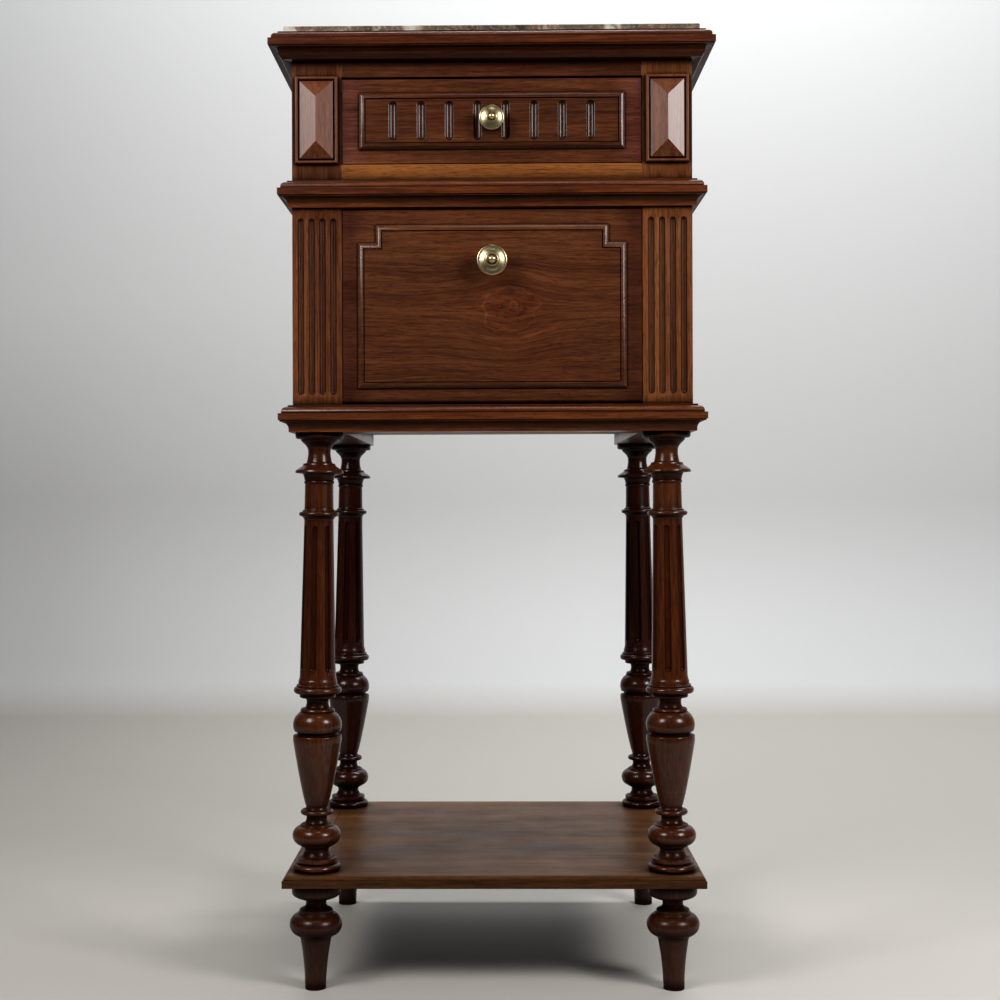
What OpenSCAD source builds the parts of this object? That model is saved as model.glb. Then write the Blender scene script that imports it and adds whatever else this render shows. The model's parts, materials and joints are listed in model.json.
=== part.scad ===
// Bedside pot cupboard: a drawer over a fall-front pot compartment, on four turned and fluted legs
// with a low shelf and turned feet. All sizes are in millimetres. X runs to the cupboard's right as
// it is faced, Y runs from front to back and Z runs up. The origin is on the floor, under the middle
// of the whole cupboard with its knobs.

/* [Case] */
// Width of the case across its corner posts
case_w = 358; // [320:1:440]
// Depth of the case from the front posts' face to the back posts' face
case_d = 351; // [300:1:420]
// Height of the storey with the fall-front door, between its two mouldings
door_storey_h = 176.6; // [150:1:260]
// Height of the storey with the drawer, between its two mouldings
drawer_storey_h = 107.4; // [105:0.2:140]
// Width of a front post, seen from the front
post_w = 44.5; // [42:0.5:56]
// Thickness of a front post, front to back
post_t = 26; // [24:1:34]
// Side of a square back post
back_post = 30; // [24:1:36]
// Thickness of a side panel
side_t = 12; // [9:0.5:16]
// Depth of the sunk fields in a side panel
side_sink = 3; // [1:0.5:4]
// Flat margin round each sunk field of a side panel
side_margin = 20; // [14:1:30]
// Thickness of the back panel
back_t = 8; // [5:0.5:10]
// Distance of the back panel in front of the back posts' rear face
back_inset = 3; // [0:0.5:8]

/* [Mouldings] */
// Height of the waist moulding and of the base moulding
moulding_h = 24; // [23:0.5:30]
// How far the waist and base mouldings stand out from the case
moulding_out = 12; // [11.5:0.5:15]
// Height of the top cornice
cornice_h = 24; // [23:0.5:32]
// How far the top cornice stands out from the case
cornice_out = 19; // [17:0.5:22]
// Height of the top fillet of each moulding
fillet_h = 1.5; // [1:0.1:2]
// Radius of the ovolo under the top fillet
ovolo_r = 4.8; // [3.5:0.1:5]
// Ledge between the top fillet and the ovolo
ovolo_step = 0.5; // [0.2:0.1:1]
// How far the flat nose stands out from the ovolo
ledge = 2.6; // [1.5:0.1:3]
// Height of the small upright step between nose and ovolo
ledge_h = 1.3; // [0.8:0.1:1.8]
// Height of the flat nose
nose_h = 6; // [4:0.5:7]
// Depth and height of the small step under the nose
quirk = 1.3; // [1:0.1:1.8]
// Radius of the cove of the waist and base mouldings
cove_r = 6.8; // [5:0.1:7]
// How far the neck under that cove stands out from the case
neck = 3.4; // [2:0.1:3.6]
// Radius of the cove of the top cornice
cornice_cove_r = 3; // [2:0.1:4]
// How far the cornice's neck stands out from the case
cornice_neck = 10.6; // [9:0.2:12]
// How far the cornice's splayed foot runs back in
splay = 2.8; // [0:0.2:4]
// Height of that splay
splay_h = 4.2; // [3:0.1:4.6]

/* [Top and base frame] */
// Thickness of the marble slab
marble_t = 15; // [12:1:20]
// Height of the marble above the cornice that frames it
marble_proud = 6; // [3:0.5:8]
// Distance from the cornice's outer edge to the marble
marble_margin = 12.5; // [10:0.5:14]
// Radius of the marble's rounded edge
marble_ease = 1.2; // [0.5:0.1:3]
// Width of a cornice member inside the case's face
cornice_w = 26; // [18:1:40]
// Width of a base frame member inside the case's face
base_w = 45; // [42:1:60]
// Thickness of the base frame's back member
base_back_t = 12; // [10:1:16]
// Thickness of the bottom panel
bottom_t = 10; // [8:1:12]
// Width of the ledge that the bottom panel rests on
bottom_ledge = 8; // [5:1:12]

/* [Drawer opening] */
// Height of the rail between door and drawer above the storey's moulding
rail_above = 14.9; // [12:0.5:18]
// How far that rail reaches below the waist moulding's lower edge
rail_below = 0.8; // [0:0.1:3]
// Thickness of the front rails, front to back
rail_t = 22; // [18:1:24]
// Height of the rail above the drawer
upper_rail_h = 14.7; // [12:0.5:20]
// Thickness of the dust board under the drawer
dust_t = 8; // [5:1:10]
// Height of a drawer runner
runner_h = 14; // [10:1:15]
// Width of a drawer runner and of a kicker
runner_w = 48; // [46:1:60]
// Height of a drawer guide
guide_h = 12; // [8:1:18]
// Height of a kicker above the drawer's sides
kicker_h = 12; // [8:1:14]

/* [Drawer] */
// Gap at each side of the drawer front
drawer_side_gap = 0.75; // [0.4:0.05:1.5]
// Gap under the drawer
drawer_low_gap = 0.4; // [0.3:0.1:1]
// Gap above the drawer front
drawer_top_gap = 1.8; // [1:0.1:3]
// Thickness of the drawer front's board
drawer_front_t = 20; // [18:1:24]
// Space between the drawer and the back panel
drawer_back_gap = 28; // [12:1:90]
// Thickness of a drawer side
drawer_side_t = 10; // [9:0.5:12]
// How far the drawer sides stay below the drawer front's top
drawer_side_drop = 0.6; // [0.2:0.2:6]
// Thickness of the drawer back
drawer_back_t = 9; // [8:0.5:12]
// How far the drawer back stays below the sides
drawer_back_drop = 9; // [4:1:16]
// Thickness of the drawer bottom
drawer_bottom_t = 5; // [4:0.5:6]
// Height of the drawer bottom's groove above the sides' lower edge
drawer_groove_z = 8; // [6:1:12]
// Depth of the grooves that hold the drawer bottom
drawer_groove_d = 4; // [3:0.5:5]
// Number of dovetails at each front corner
tail_count = 3; // [2:1:4]
// Length of a dovetail
tail_l = 14; // [10:1:15]
// Width of a dovetail at its root, as a share of the dovetails' pitch
tail_root = 0.5; // [0.4:0.01:0.55]
// Width of a dovetail at its tip, as a share of the dovetails' pitch
tail_tip = 0.68; // [0.6:0.01:0.75]
// Side of a square drawer stop
drawer_stop = 10; // [6:1:12]
// Gap between the closed drawer's sides and the stops
drawer_stop_gap = 0.3; // [0.2:0.1:1]

/* [Door] */
// Gap at each side of the door
door_side_gap = 0.8; // [0.5:0.1:1.5]
// Gap above the door
door_top_gap = 1.4; // [1:0.1:2]
// Gap under the door
door_low_gap = 1; // [0.9:0.1:1.5]
// Thickness of the door's frame
door_t = 18; // [16:1:20]
// Width of a door stile
stile_w = 40; // [30:1:50]
// Height of the door's bottom rail
door_low_rail_h = 40; // [30:1:50]
// Height of the door's top rail
door_top_rail_h = 60; // [56:1:70]
// Thickness of the board that fills the door's frame
core_t = 10; // [8:1:14]
// Distance of the hinge pins from the door's face and from its lower edge
pin_inset = 3; // [2.7:0.1:3.5]
// Diameter of a hinge pin
pin_d = 3.5; // [3:0.1:4]
// Length of a hinge pin inside the door
pin_in_door = 12; // [8:1:18]
// Length of a hinge pin inside its post
pin_in_post = 8; // [6:1:12]
// Height of the door knob's centre below the door's top
door_knob_drop = 47.5; // [44:0.5:50]
// Width and depth of a door stop strip
door_stop = 8; // [5:1:8]
// Distance of the stop strips from the bottom panel and from the rail above
door_stop_end = 25; // [15:1:40]
// Gap between the closed door and its stop strips
door_stop_gap = 0.3; // [0.3:0.1:0.8]

/* [Raised fields] */
// Flat margin between the door's edge and its raised field
door_margin = 13.5; // [12.5:0.5:18]
// Side of the square notch in the two upper corners of the door's field
notch = 16; // [12:1:22]
// Flat margin beside the drawer's raised field
drawer_margin = 15; // [12:0.5:20]
// Flat margin above and below the drawer's raised field
drawer_margin_z = 12.4; // [10:0.2:16]
// Width of the moulded edge round a raised field
edge_w = 6; // [5:0.5:7]
// Height of the moulded edge above the board
edge_h = 3.6; // [3.4:0.1:4]
// Height of the flat field above the board
field_h = 3; // [2.6:0.1:3.2]
// Width of the fine groove between moulded edge and field
edge_groove_w = 0.8; // [0.5:0.1:1.2]
// Depth of that fine groove below the field
edge_groove_d = 1; // [0.5:0.1:1.4]

/* [Flutes] */
// Width of a flute in the posts
flute_w = 5.8; // [4:0.2:7]
// Depth of a flute in the posts
flute_d = 2.2; // [1:0.1:2.8]
// Distance between the centres of the posts' flutes
flute_pitch = 9.7; // [8:0.1:10.4]
// Number of flutes in each post
flute_count = 4; // [2:1:4]
// Plain length above and below the posts' flutes
flute_end = 9.2; // [6:0.2:16]
// Width of a flute in the drawer's field
drawer_flute_w = 7; // [4:0.5:9]
// Depth of a flute in the drawer's field
drawer_flute_d = 2.4; // [1.2:0.1:2.5]
// Length of a flute in the drawer's field
drawer_flute_l = 35; // [20:1:36]
// Distance between the centres of the drawer's flutes
drawer_flute_pitch = 25.2; // [20:0.2:27]
// Number of flutes in the drawer's field
drawer_flute_count = 8; // [2:2:8]

/* [Diamond blocks] */
// Width of a diamond block
block_w = 38.4; // [34:0.2:40]
// Distance of the block from the moulding under it
block_lift = 15.2; // [10:0.2:18]
// Height of a diamond block
block_h = 78; // [60:1:80]
// Width of the block's moulded rim
block_rim_w = 3.6; // [3:0.2:6]
// Height of the block's moulded rim
block_rim_h = 4.4; // [3:0.2:5]
// Thickness of the block's ground inside the rim
block_ground = 1.4; // [1:0.2:2]
// Gap between the rim and the diamond
diamond_gap = 2.8; // [0.6:0.2:3]
// Height of the diamond's upright foot above the block's ground
diamond_foot = 4; // [1:0.2:4]
// Height of the diamond's ridge above the post
diamond_h = 9.5; // [6:0.5:12]

/* [Knobs and catch] */
// Diameter of the door's knob
door_knob_d = 27.2; // [24:0.2:30]
// Diameter of the drawer's knob
drawer_knob_d = 22.2; // [20:0.2:25]
// Reach of a knob from its seat, as a share of its diameter
knob_reach = 0.82; // [0.7:0.01:0.95]
// Diameter of the screw that holds a knob
knob_screw_d = 4; // [3:0.5:5]
// Depth of the screw inside its knob
knob_thread = 9; // [6:0.5:10]
// Outer diameter of the ball catch's barrel
catch_d = 9; // [8:0.5:10]
// Length of the ball catch's barrel
catch_l = 13; // [12:0.5:16]
// Diameter of the catch ball
ball_d = 6.4; // [6:0.1:6.8]
// How far the catch ball stands out of the door's upper edge
ball_proud = 1.1; // [0.6:0.1:1.1]
// Clearance round the catch ball
ball_gap = 0.1; // [0.06:0.01:0.15]
// Diameter of the barrel's mouth, which keeps the ball in
catch_mouth_d = 5.8; // [5.4:0.1:6]
// Thickness of the barrel's floor under the spring
catch_floor = 2; // [1:0.2:3]
// Outer diameter of the catch spring
spring_d = 5; // [4:0.2:5.8]
// Thickness of the catch spring's wire
spring_wire = 0.6; // [0.4:0.05:0.8]
// Number of turns of the catch spring
spring_coils = 4; // [3:1:5]
// Width of the strike plate above the catch
strike_w = 26; // [20:1:34]
// Thickness of the strike plate
strike_t = 1; // [0.8:0.1:1.5]
// Diameter of the strike plate's dimple for the ball
dimple_d = 4.4; // [3:0.1:5.5]

/* [Shelf] */
// Thickness of the shelf
shelf_t = 11.1; // [9:0.1:18]
// How far the shelf reaches past the leg axes
shelf_out = 28; // [24.5:0.5:40]
// Height of the shelf edge's flat lower part
shelf_fascia_h = 6.6; // [4:0.2:7]
// Width of the shelf edge's upper moulding
shelf_edge_w = 5.5; // [4:0.5:8]

/* [Legs and feet] */
// Diameter of the flange on a foot, which all the turnings of legs and feet follow
leg_d = 44.4; // [40:0.2:46]
// Height of the legs between shelf and case
leg_h = 396.8; // [360:1:460]
// Height of the feet under the shelf
foot_h = 96.5; // [80:1:120]
// Distance of the leg axes from the case's faces
leg_inset = 21.6; // [21:0.1:24]
// Outward lean of the legs, in degrees
leg_lean = 0.6; // [0:0.1:1.2]
// Radius of the fluted shaft at its lower end
shaft_r_low = 16.3; // [15:0.1:18]
// Radius of the fluted shaft at its upper end
shaft_r_top = 13.3; // [13:0.1:16]
// Number of flutes round a leg's shaft
leg_flute_count = 7; // [6:1:8]
// Width of a leg's flute at the shaft's lower end
leg_flute_w_low = 6.3; // [4:0.2:7]
// Width of a leg's flute at the shaft's upper end
leg_flute_w_top = 5.2; // [3:0.2:6]
// Plain length of the shaft below and above its flutes
leg_flute_end = 3.5; // [3:0.5:12]
// Turn of the flutes away from the leg's front, in degrees
leg_flute_turn = -3; // [-25:1:25]
// Diameter of the dowel on top of a leg
leg_dowel_d = 18; // [14:1:20]
// Length of the dowel on top of a leg
leg_dowel_l = 16; // [12:1:18]
// Diameter of the dowel on top of a foot
foot_dowel_d = 13; // [10:0.5:14]
// Length of the foot's dowel inside its leg
foot_dowel_l = 18; // [12:1:22]

/* [Fits] */
// Clearance round a glued dowel, tongue or screw
glue_gap = 0.05; // [0.02:0.01:0.1]
// Radial clearance round a hinge pin
pin_gap = 0.05; // [0.02:0.01:0.08]

/* [Hidden] */
$fn = 48;

// Heights of the main levels above the floor
shelf_z = foot_h;
shelf_top = shelf_z + shelf_t;
case_z = shelf_top + leg_h;
floor_z = case_z + moulding_h;
waist_z = floor_z + door_storey_h;
waist_top = waist_z + moulding_h;
cornice_z = waist_top + drawer_storey_h;
cornice_top = cornice_z + cornice_h;
marble_top_z = cornice_top + marble_proud;
marble_z = marble_top_z - marble_t;

// Half widths, and planes from front to back
half_w = case_w / 2;
open_half_w = half_w - post_w;
front_reach = field_h + knob_reach * door_knob_d;
shelf_back = shelf_out - leg_inset;
face_y = front_reach - (front_reach + case_d + shelf_back) / 2;
back_y = face_y + case_d;
back_panel_y = back_y - back_inset - back_t;
behind_posts = face_y + post_t;
before_posts = back_y - back_post;
inner_w = half_w - side_t;

// Drawer opening
rail_z = waist_z - rail_below;
rail_top = waist_top + rail_above;
upper_rail_z = cornice_z - upper_rail_h;
dust_z = rail_top - runner_h - dust_t;

// Drawer
drawer_half_w = open_half_w - drawer_side_gap;
drawer_z = rail_top + drawer_low_gap;
drawer_top = upper_rail_z - drawer_top_gap;
drawer_side_top = drawer_top - drawer_side_drop;
drawer_end = back_panel_y - drawer_back_gap;
groove_z = drawer_z + drawer_groove_z;
drawer_field_h = drawer_top - drawer_z - 2 * drawer_margin_z;
drawer_knob_z = (drawer_z + drawer_top) / 2;

// Door
door_half_w = open_half_w - door_side_gap;
door_z = floor_z + door_low_gap;
door_top = rail_z - door_top_gap;
door_back_y = face_y + door_t;
door_knob_z = door_top - door_knob_drop;
pin_y = face_y + pin_inset;
pin_z = door_z + pin_inset;
catch_y = face_y + door_t / 2;
catch_z = door_top - catch_l;
ball_z = door_top + ball_proud - ball_d / 2;

// Diameter of that flange in the outlines as they are written
outline_d = 44.4;
// Legs: the lean carries the axes outward on their way down
leg_x = half_w - leg_inset;
shelf_half_w = leg_x + (case_z - shelf_z) * tan(leg_lean) + shelf_out;
shelf_y0 = face_y + leg_inset - shelf_out;
shelf_y1 = back_y + shelf_back;
// Spare length of a turning before its ends are cut level
cut_spare = 1;
// Lengths of the turnings below and above the fluted shaft
low_turning_h = 177 * leg_d / outline_d;
top_turning_h = 80.6 * leg_d / outline_d;

// How far a member runs into the moulding that is worked on it
fuse = 1;

// Colours
walnut = [0.36, 0.15, 0.09];
walnut_dark = [0.27, 0.11, 0.07];
walnut_warm = [0.47, 0.22, 0.11];
pale_wood = [0.66, 0.52, 0.37];
brass_yellow = [0.80, 0.62, 0.28];
marble_grey = [0.62, 0.60, 0.56];
steel_grey = [0.60, 0.60, 0.60];

// ---------- helpers ----------

// Box between two opposite corners
module slab(low, high) {
    translate(low) cube(high - low);
}

// The same thing on the left (side = -1) or on the right (side = 1)
module on_side(side) {
    mirror([side < 0 ? 1 : 0, 0, 0]) children();
}

// Points of an arc round [x, y]
function arc(x, y, r, from, to, steps) =
    [for (i = [0:steps]) let (a = from + (to - from) * i / steps) [x + r * cos(a), y + r * sin(a)]];

// Points of a smooth sweep from one radius and height to another
function sweep(r0, z0, r1, z1, power, steps) =
    [for (i = [0:steps]) let (t = i / steps) [r0 + (r1 - r0) * pow(t, power), z0 + (z1 - z0) * t]];

// Inward unit normal of the side p-q of an outline that runs anticlockwise
function inward(p, q) = let (d = q - p) [-d[1], d[0]] / norm(d);

// Corner i of a rectilinear outline, moved inward by w along its mitre
function mitre(pts, i, w) =
    let (n = len(pts), p = pts[i % n])
    p + w * (inward(pts[(i + n - 1) % n], p) + inward(p, pts[(i + 1) % n]));

// Runs a 2D edge section, x inward and y up, round a rectilinear outline with mitred corners
module mitred_edge(pts, w, h) {
    for (i = [0:len(pts) - 1]) {
        p = pts[i];
        q = pts[(i + 1) % len(pts)];
        d = q - p;
        intersection() {
            linear_extrude(h) polygon([p, q, mitre(pts, i + 1, w), mitre(pts, i, w)]);
            translate([p[0], p[1], 0]) rotate([0, 0, atan2(d[1], d[0])]) translate([-w, 0, 0])
                rotate([90, 0, 90]) linear_extrude(norm(d) + 2 * w) children();
        }
    }
}

function rectangle(w, h) = [[-w / 2, -h / 2], [w / 2, -h / 2], [w / 2, h / 2], [-w / 2, h / 2]];

// Groove with round ends, upright, in a face that looks to the front; centred on the face
module flute(w, depth, length) {
    r = (w * w / 4 + depth * depth) / (2 * depth);
    straight = length / 2 - w / 2;
    translate([0, depth - r, 0]) {
        translate([0, 0, -straight]) cylinder(r = r, h = 2 * straight);
        for (end = [-1, 1]) translate([0, 0, end * straight]) sphere(r);
    }
}

// ---------- mouldings ----------

// Section of a moulding: x outward from the case, y up from its lower edge. From the top it has a
// fillet, an ovolo, a flat nose, a small step, a cove of radius r and a neck, whose foot is splayed.
module moulding_profile(out, h, neck_x, r, foot_in, foot_h) {
    ovolo_x = out - ledge - ovolo_r;
    ovolo_y = h - fillet_h - ovolo_r;
    fillet_x = ovolo_x - ovolo_step;
    nose_top = ovolo_y - ledge_h;
    nose_low = nose_top - nose_h;
    cove_x = neck_x + r;
    cove_top = nose_low - quirk;
    difference() {
        union() {
            polygon([
                [0, 0], [neck_x - foot_in, 0], [neck_x, foot_h], [neck_x, cove_top - r],
                [cove_x, cove_top - r], [cove_x, cove_top], [out - quirk, cove_top],
                [out - quirk, nose_low], [out, nose_low],
                [out, nose_top], [out - ledge, nose_top], [out - ledge, ovolo_y], [ovolo_x, ovolo_y],
                [ovolo_x, h - fillet_h], [fillet_x, h - fillet_h], [fillet_x, h], [0, h]
            ]);
            translate([ovolo_x, ovolo_y]) circle(ovolo_r);
        }
        translate([cove_x, cove_top - r]) circle(r);
    }
}

module case_moulding() {
    moulding_profile(moulding_out, moulding_h, neck, cove_r, 0, fuse);
}

module cornice_moulding() {
    moulding_profile(cornice_out, cornice_h, cornice_neck, cornice_cove_r, splay, splay_h);
}

// A moulding across the front, mitred at both ends
module front_run(out, z, h) {
    intersection() {
        translate([0, face_y, z]) mirror([0, 1, 0]) rotate([90, 0, 90])
            linear_extrude(case_w + 2 * out, center = true) children();
        translate([0, 0, z]) linear_extrude(h) polygon([
            [-half_w, face_y], [-half_w - out, face_y - out], [half_w + out, face_y - out], [half_w, face_y]
        ]);
    }
}

// A moulding along one side, mitred at the front and cut square at the back
module side_run(side, out, z, h) {
    on_side(side) intersection() {
        translate([half_w, back_y, z]) rotate([90, 0, 0]) linear_extrude(case_d + out) children();
        translate([0, 0, z]) linear_extrude(h) polygon([
            [half_w, face_y], [half_w + out, face_y - out], [half_w + out, back_y], [half_w, back_y]
        ]);
    }
}

// ---------- top ----------

module marble_space(gap) {
    edge = half_w + cornice_out - marble_margin + gap;
    slab([-edge, face_y - cornice_out + marble_margin - gap, marble_z],
         [edge, back_y + gap, marble_top_z + 1]);
}

// Slab seen from one side, from x = low to x = high, with its two upper corners rounded
module eased_slab(low, high, bottom) {
    r = marble_ease;
    polygon(concat(
        [[low, bottom], [high, bottom]],
        arc(high - r, marble_t - r, r, 0, 90, 8),
        arc(low + r, marble_t - r, r, 90, 180, 8)
    ));
}

module marble_top() {
    edge = half_w + cornice_out - marble_margin;
    front = face_y - cornice_out + marble_margin;
    spare = 5;
    color(marble_grey) translate([0, 0, marble_z]) intersection() {
        translate([0, back_y + spare, 0]) rotate([90, 0, 0])
            linear_extrude(back_y - front + 2 * spare) eased_slab(-edge, edge, 0);
        rotate([90, 0, 90]) linear_extrude(2 * (edge + spare), center = true)
            eased_slab(front, back_y, -spare);
    }
}

module cornice_front() {
    color(walnut) difference() {
        union() {
            slab([-half_w, face_y - fuse, cornice_z], [half_w, face_y + cornice_w, cornice_top]);
            front_run(cornice_out, cornice_z, cornice_h) cornice_moulding();
        }
        marble_space(glue_gap);
    }
}

module cornice_side(side) {
    color(walnut) difference() {
        union() {
            on_side(side) slab([half_w - cornice_w, face_y + cornice_w, cornice_z],
                               [half_w + fuse, back_y - cornice_w, cornice_top]);
            side_run(side, cornice_out, cornice_z, cornice_h) cornice_moulding();
        }
        marble_space(glue_gap);
    }
}

module cornice_left() { cornice_side(-1); }

module cornice_right() { cornice_side(1); }

module cornice_back() {
    color(walnut_dark) slab([-half_w, back_y - cornice_w, cornice_z], [half_w, back_y, marble_z]);
}

// ---------- case ----------

module front_post(side) {
    flute_l = door_storey_h - 2 * flute_end;
    color(walnut_warm) on_side(side) difference() {
        slab([open_half_w, face_y, floor_z], [half_w, behind_posts, cornice_z]);
        for (i = [0:flute_count - 1])
            translate([half_w - post_w / 2 + (i - (flute_count - 1) / 2) * flute_pitch, face_y,
                       floor_z + door_storey_h / 2]) flute(flute_w, flute_d, flute_l);
        translate([open_half_w - 1, pin_y, pin_z]) rotate([0, 90, 0])
            cylinder(d = pin_d + 2 * pin_gap, h = pin_in_post + 2);
    }
}

module front_post_left() { front_post(-1); }

module front_post_right() { front_post(1); }

module back_post(side) {
    color(walnut_dark) on_side(side)
        slab([half_w - back_post, before_posts, floor_z], [half_w, back_y, cornice_z]);
}

module back_post_left() { back_post(-1); }

module back_post_right() { back_post(1); }

// Side panel, flush with the posts, with one sunk field in each storey
module side_panel(side) {
    field_y0 = behind_posts + side_margin;
    field_y1 = before_posts - side_margin;
    color(walnut) on_side(side) difference() {
        slab([inner_w, behind_posts, floor_z], [half_w, before_posts, cornice_z]);
        for (field = [[floor_z, waist_z], [waist_top, cornice_z]])
            slab([half_w - side_sink, field_y0, field[0] + side_margin],
                 [half_w + 1, field_y1, field[1] - side_margin]);
    }
}

module side_panel_left() { side_panel(-1); }

module side_panel_right() { side_panel(1); }

module back_panel() {
    color(pale_wood) slab([back_post - half_w, back_panel_y, floor_z],
                          [half_w - back_post, back_panel_y + back_t, cornice_z]);
}

// Block with a moulded rim round a long diamond whose four slopes are alike
module diamond_block(side) {
    ground_w = block_w - 2 * block_rim_w;
    ground_h = block_h - 2 * block_rim_w;
    diamond_w = ground_w - 2 * diamond_gap;
    diamond_l = ground_h - 2 * diamond_gap;
    ridge = diamond_l - diamond_w;
    shoulder = block_ground + diamond_foot;
    color(walnut) on_side(side)
    translate([half_w - post_w / 2, face_y, waist_top + block_lift + block_h / 2]) rotate([90, 0, 0]) {
        mitred_edge(rectangle(block_w, block_h), block_rim_w, block_rim_h) rim_section();
        linear_extrude(block_ground) square([ground_w + block_rim_w, ground_h + block_rim_w], center = true);
        intersection() {
            rotate([90, 0, 0]) linear_extrude(diamond_l, center = true) polygon([
                [-diamond_w / 2, 0], [diamond_w / 2, 0], [diamond_w / 2, shoulder],
                [0, diamond_h], [-diamond_w / 2, shoulder]
            ]);
            rotate([90, 0, 90]) linear_extrude(diamond_w, center = true) polygon([
                [-diamond_l / 2, 0], [diamond_l / 2, 0], [diamond_l / 2, shoulder],
                [ridge / 2, diamond_h], [-ridge / 2, diamond_h], [-diamond_l / 2, shoulder]
            ]);
        }
    }
}

// Rim of a diamond block: a rounded bar with a slope down to the ground
module rim_section() {
    crown = block_rim_w / 2;
    flat = crown + block_rim_w / 9;
    step = block_rim_h * 0.84;
    polygon(concat(
        [[0, 0]],
        arc(crown, block_rim_h - crown, crown, 180, 90, 8),
        [[flat, block_rim_h], [flat, step]],
        arc(block_rim_w, step, block_rim_w - flat, 180, 270, 6),
        [[block_rim_w, 0]]
    ));
}

module diamond_block_left() { diamond_block(-1); }

module diamond_block_right() { diamond_block(1); }

module waist_moulding_front() {
    color(walnut) front_run(moulding_out, waist_z, moulding_h) case_moulding();
}

module waist_moulding_side(side) {
    color(walnut) side_run(side, moulding_out, waist_z, moulding_h) case_moulding();
}

module waist_moulding_left() { waist_moulding_side(-1); }

module waist_moulding_right() { waist_moulding_side(1); }

// ---------- base ----------

// Space of the bottom panel, which drops into a ledge all round
module bottom_space(gap) {
    edge = half_w - base_w + bottom_ledge + gap;
    slab([-edge, face_y + base_w - bottom_ledge - gap, floor_z - bottom_t],
         [edge, before_posts, floor_z + 1]);
}

// Bores for the four leg dowels
module leg_dowel_bores() {
    for (side = [-1, 1], depth = [-1, 1]) on_leg_axis(side, depth)
        translate([0, 0, case_z - 1]) cylinder(d = leg_dowel_d + 2 * glue_gap, h = leg_dowel_l + 2);
}

module base_frame_front() {
    color(walnut) difference() {
        union() {
            slab([-half_w, face_y - fuse, case_z], [half_w, face_y + base_w, floor_z]);
            front_run(moulding_out, case_z, moulding_h) case_moulding();
        }
        bottom_space(glue_gap);
        leg_dowel_bores();
    }
}

module base_frame_side(side) {
    color(walnut) difference() {
        union() {
            on_side(side) slab([half_w - base_w, face_y + base_w, case_z],
                               [half_w + fuse, back_y, floor_z]);
            side_run(side, moulding_out, case_z, moulding_h) case_moulding();
        }
        bottom_space(glue_gap);
        leg_dowel_bores();
    }
}

module base_frame_left() { base_frame_side(-1); }

module base_frame_right() { base_frame_side(1); }

module base_frame_back() {
    color(pale_wood) slab([base_w - half_w, before_posts, floor_z - base_back_t],
                          [half_w - base_w, back_y, floor_z]);
}

module bottom_panel() {
    edge = half_w - base_w + bottom_ledge;
    color(pale_wood) slab([-edge, face_y + base_w - bottom_ledge, floor_z - bottom_t],
                          [edge, before_posts, floor_z]);
}

// ---------- inside the case ----------

module upper_rail() {
    color(walnut) slab([-open_half_w, face_y, upper_rail_z], [open_half_w, face_y + rail_t, cornice_z]);
}

module drawer_rail() {
    color(walnut_warm) difference() {
        slab([-open_half_w, face_y, rail_z], [open_half_w, face_y + rail_t, rail_top]);
        strike_space(glue_gap);
    }
}

module dust_board() {
    color(pale_wood) difference() {
        slab([-inner_w, face_y + rail_t, dust_z], [inner_w, back_panel_y, dust_z + dust_t]);
        for (side = [-1, 1]) on_side(side) {
            slab([open_half_w, face_y, dust_z - 1], [half_w, behind_posts, rail_top]);
            slab([half_w - back_post, before_posts, dust_z - 1], [half_w, back_y, rail_top]);
        }
    }
}

module drawer_runners() {
    color(pale_wood) for (side = [-1, 1]) on_side(side)
        slab([inner_w - runner_w, behind_posts, rail_top - runner_h], [inner_w, before_posts, rail_top]);
}

module drawer_guides() {
    color(pale_wood) for (side = [-1, 1]) on_side(side)
        slab([open_half_w, behind_posts, rail_top], [inner_w, before_posts, rail_top + guide_h]);
}

module drawer_kickers() {
    color(pale_wood) for (side = [-1, 1]) on_side(side)
        slab([inner_w - runner_w, behind_posts, upper_rail_z],
             [inner_w, before_posts, upper_rail_z + kicker_h]);
}

// Blocks on the runners, behind the drawer sides
module drawer_stops() {
    stop_y = drawer_end + drawer_stop_gap;
    color(pale_wood) for (side = [-1, 1]) on_side(side)
        slab([drawer_half_w - drawer_side_t, stop_y, rail_top],
             [open_half_w, stop_y + drawer_stop, rail_top + drawer_stop]);
}

// Strips on the inner faces of the front posts, behind the door
module door_stops() {
    stop_y = door_back_y + door_stop_gap;
    color(walnut_dark) for (side = [-1, 1]) on_side(side)
        slab([open_half_w - door_stop, stop_y, floor_z + door_stop_end],
             [open_half_w, behind_posts, rail_z - door_stop_end]);
}

// ---------- drawer ----------

// Dovetails of a drawer side, which reach into the drawer front
module tails(gap) {
    pitch = (drawer_side_top - drawer_z) / tail_count;
    root = pitch * tail_root;
    tip = pitch * tail_tip;
    for (i = [0:tail_count - 1])
        translate([drawer_half_w - drawer_side_t - gap, face_y + drawer_front_t,
                   drawer_z + (i + 0.5) * pitch])
            rotate([90, 0, 90]) linear_extrude(drawer_side_t + 2 * gap) polygon([
                [0, -root / 2 - gap], [-tail_l - gap, -tip / 2 - gap],
                [-tail_l - gap, tip / 2 + gap], [0, root / 2 + gap]
            ]);
}

module drawer_front() {
    color(walnut) difference() {
        slab([-drawer_half_w, face_y, drawer_z], [drawer_half_w, face_y + drawer_front_t, drawer_top]);
        for (side = [-1, 1]) on_side(side) tails(glue_gap);
        drawer_bottom_space(glue_gap);
        knob_bore(drawer_knob_z);
    }
}

module drawer_bottom_space(gap) {
    edge = drawer_half_w - drawer_side_t + drawer_groove_d;
    slab([-edge - gap, face_y + drawer_front_t - drawer_groove_d - gap, groove_z - gap],
         [edge + gap, drawer_end + gap, groove_z + drawer_bottom_t + gap]);
}

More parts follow.
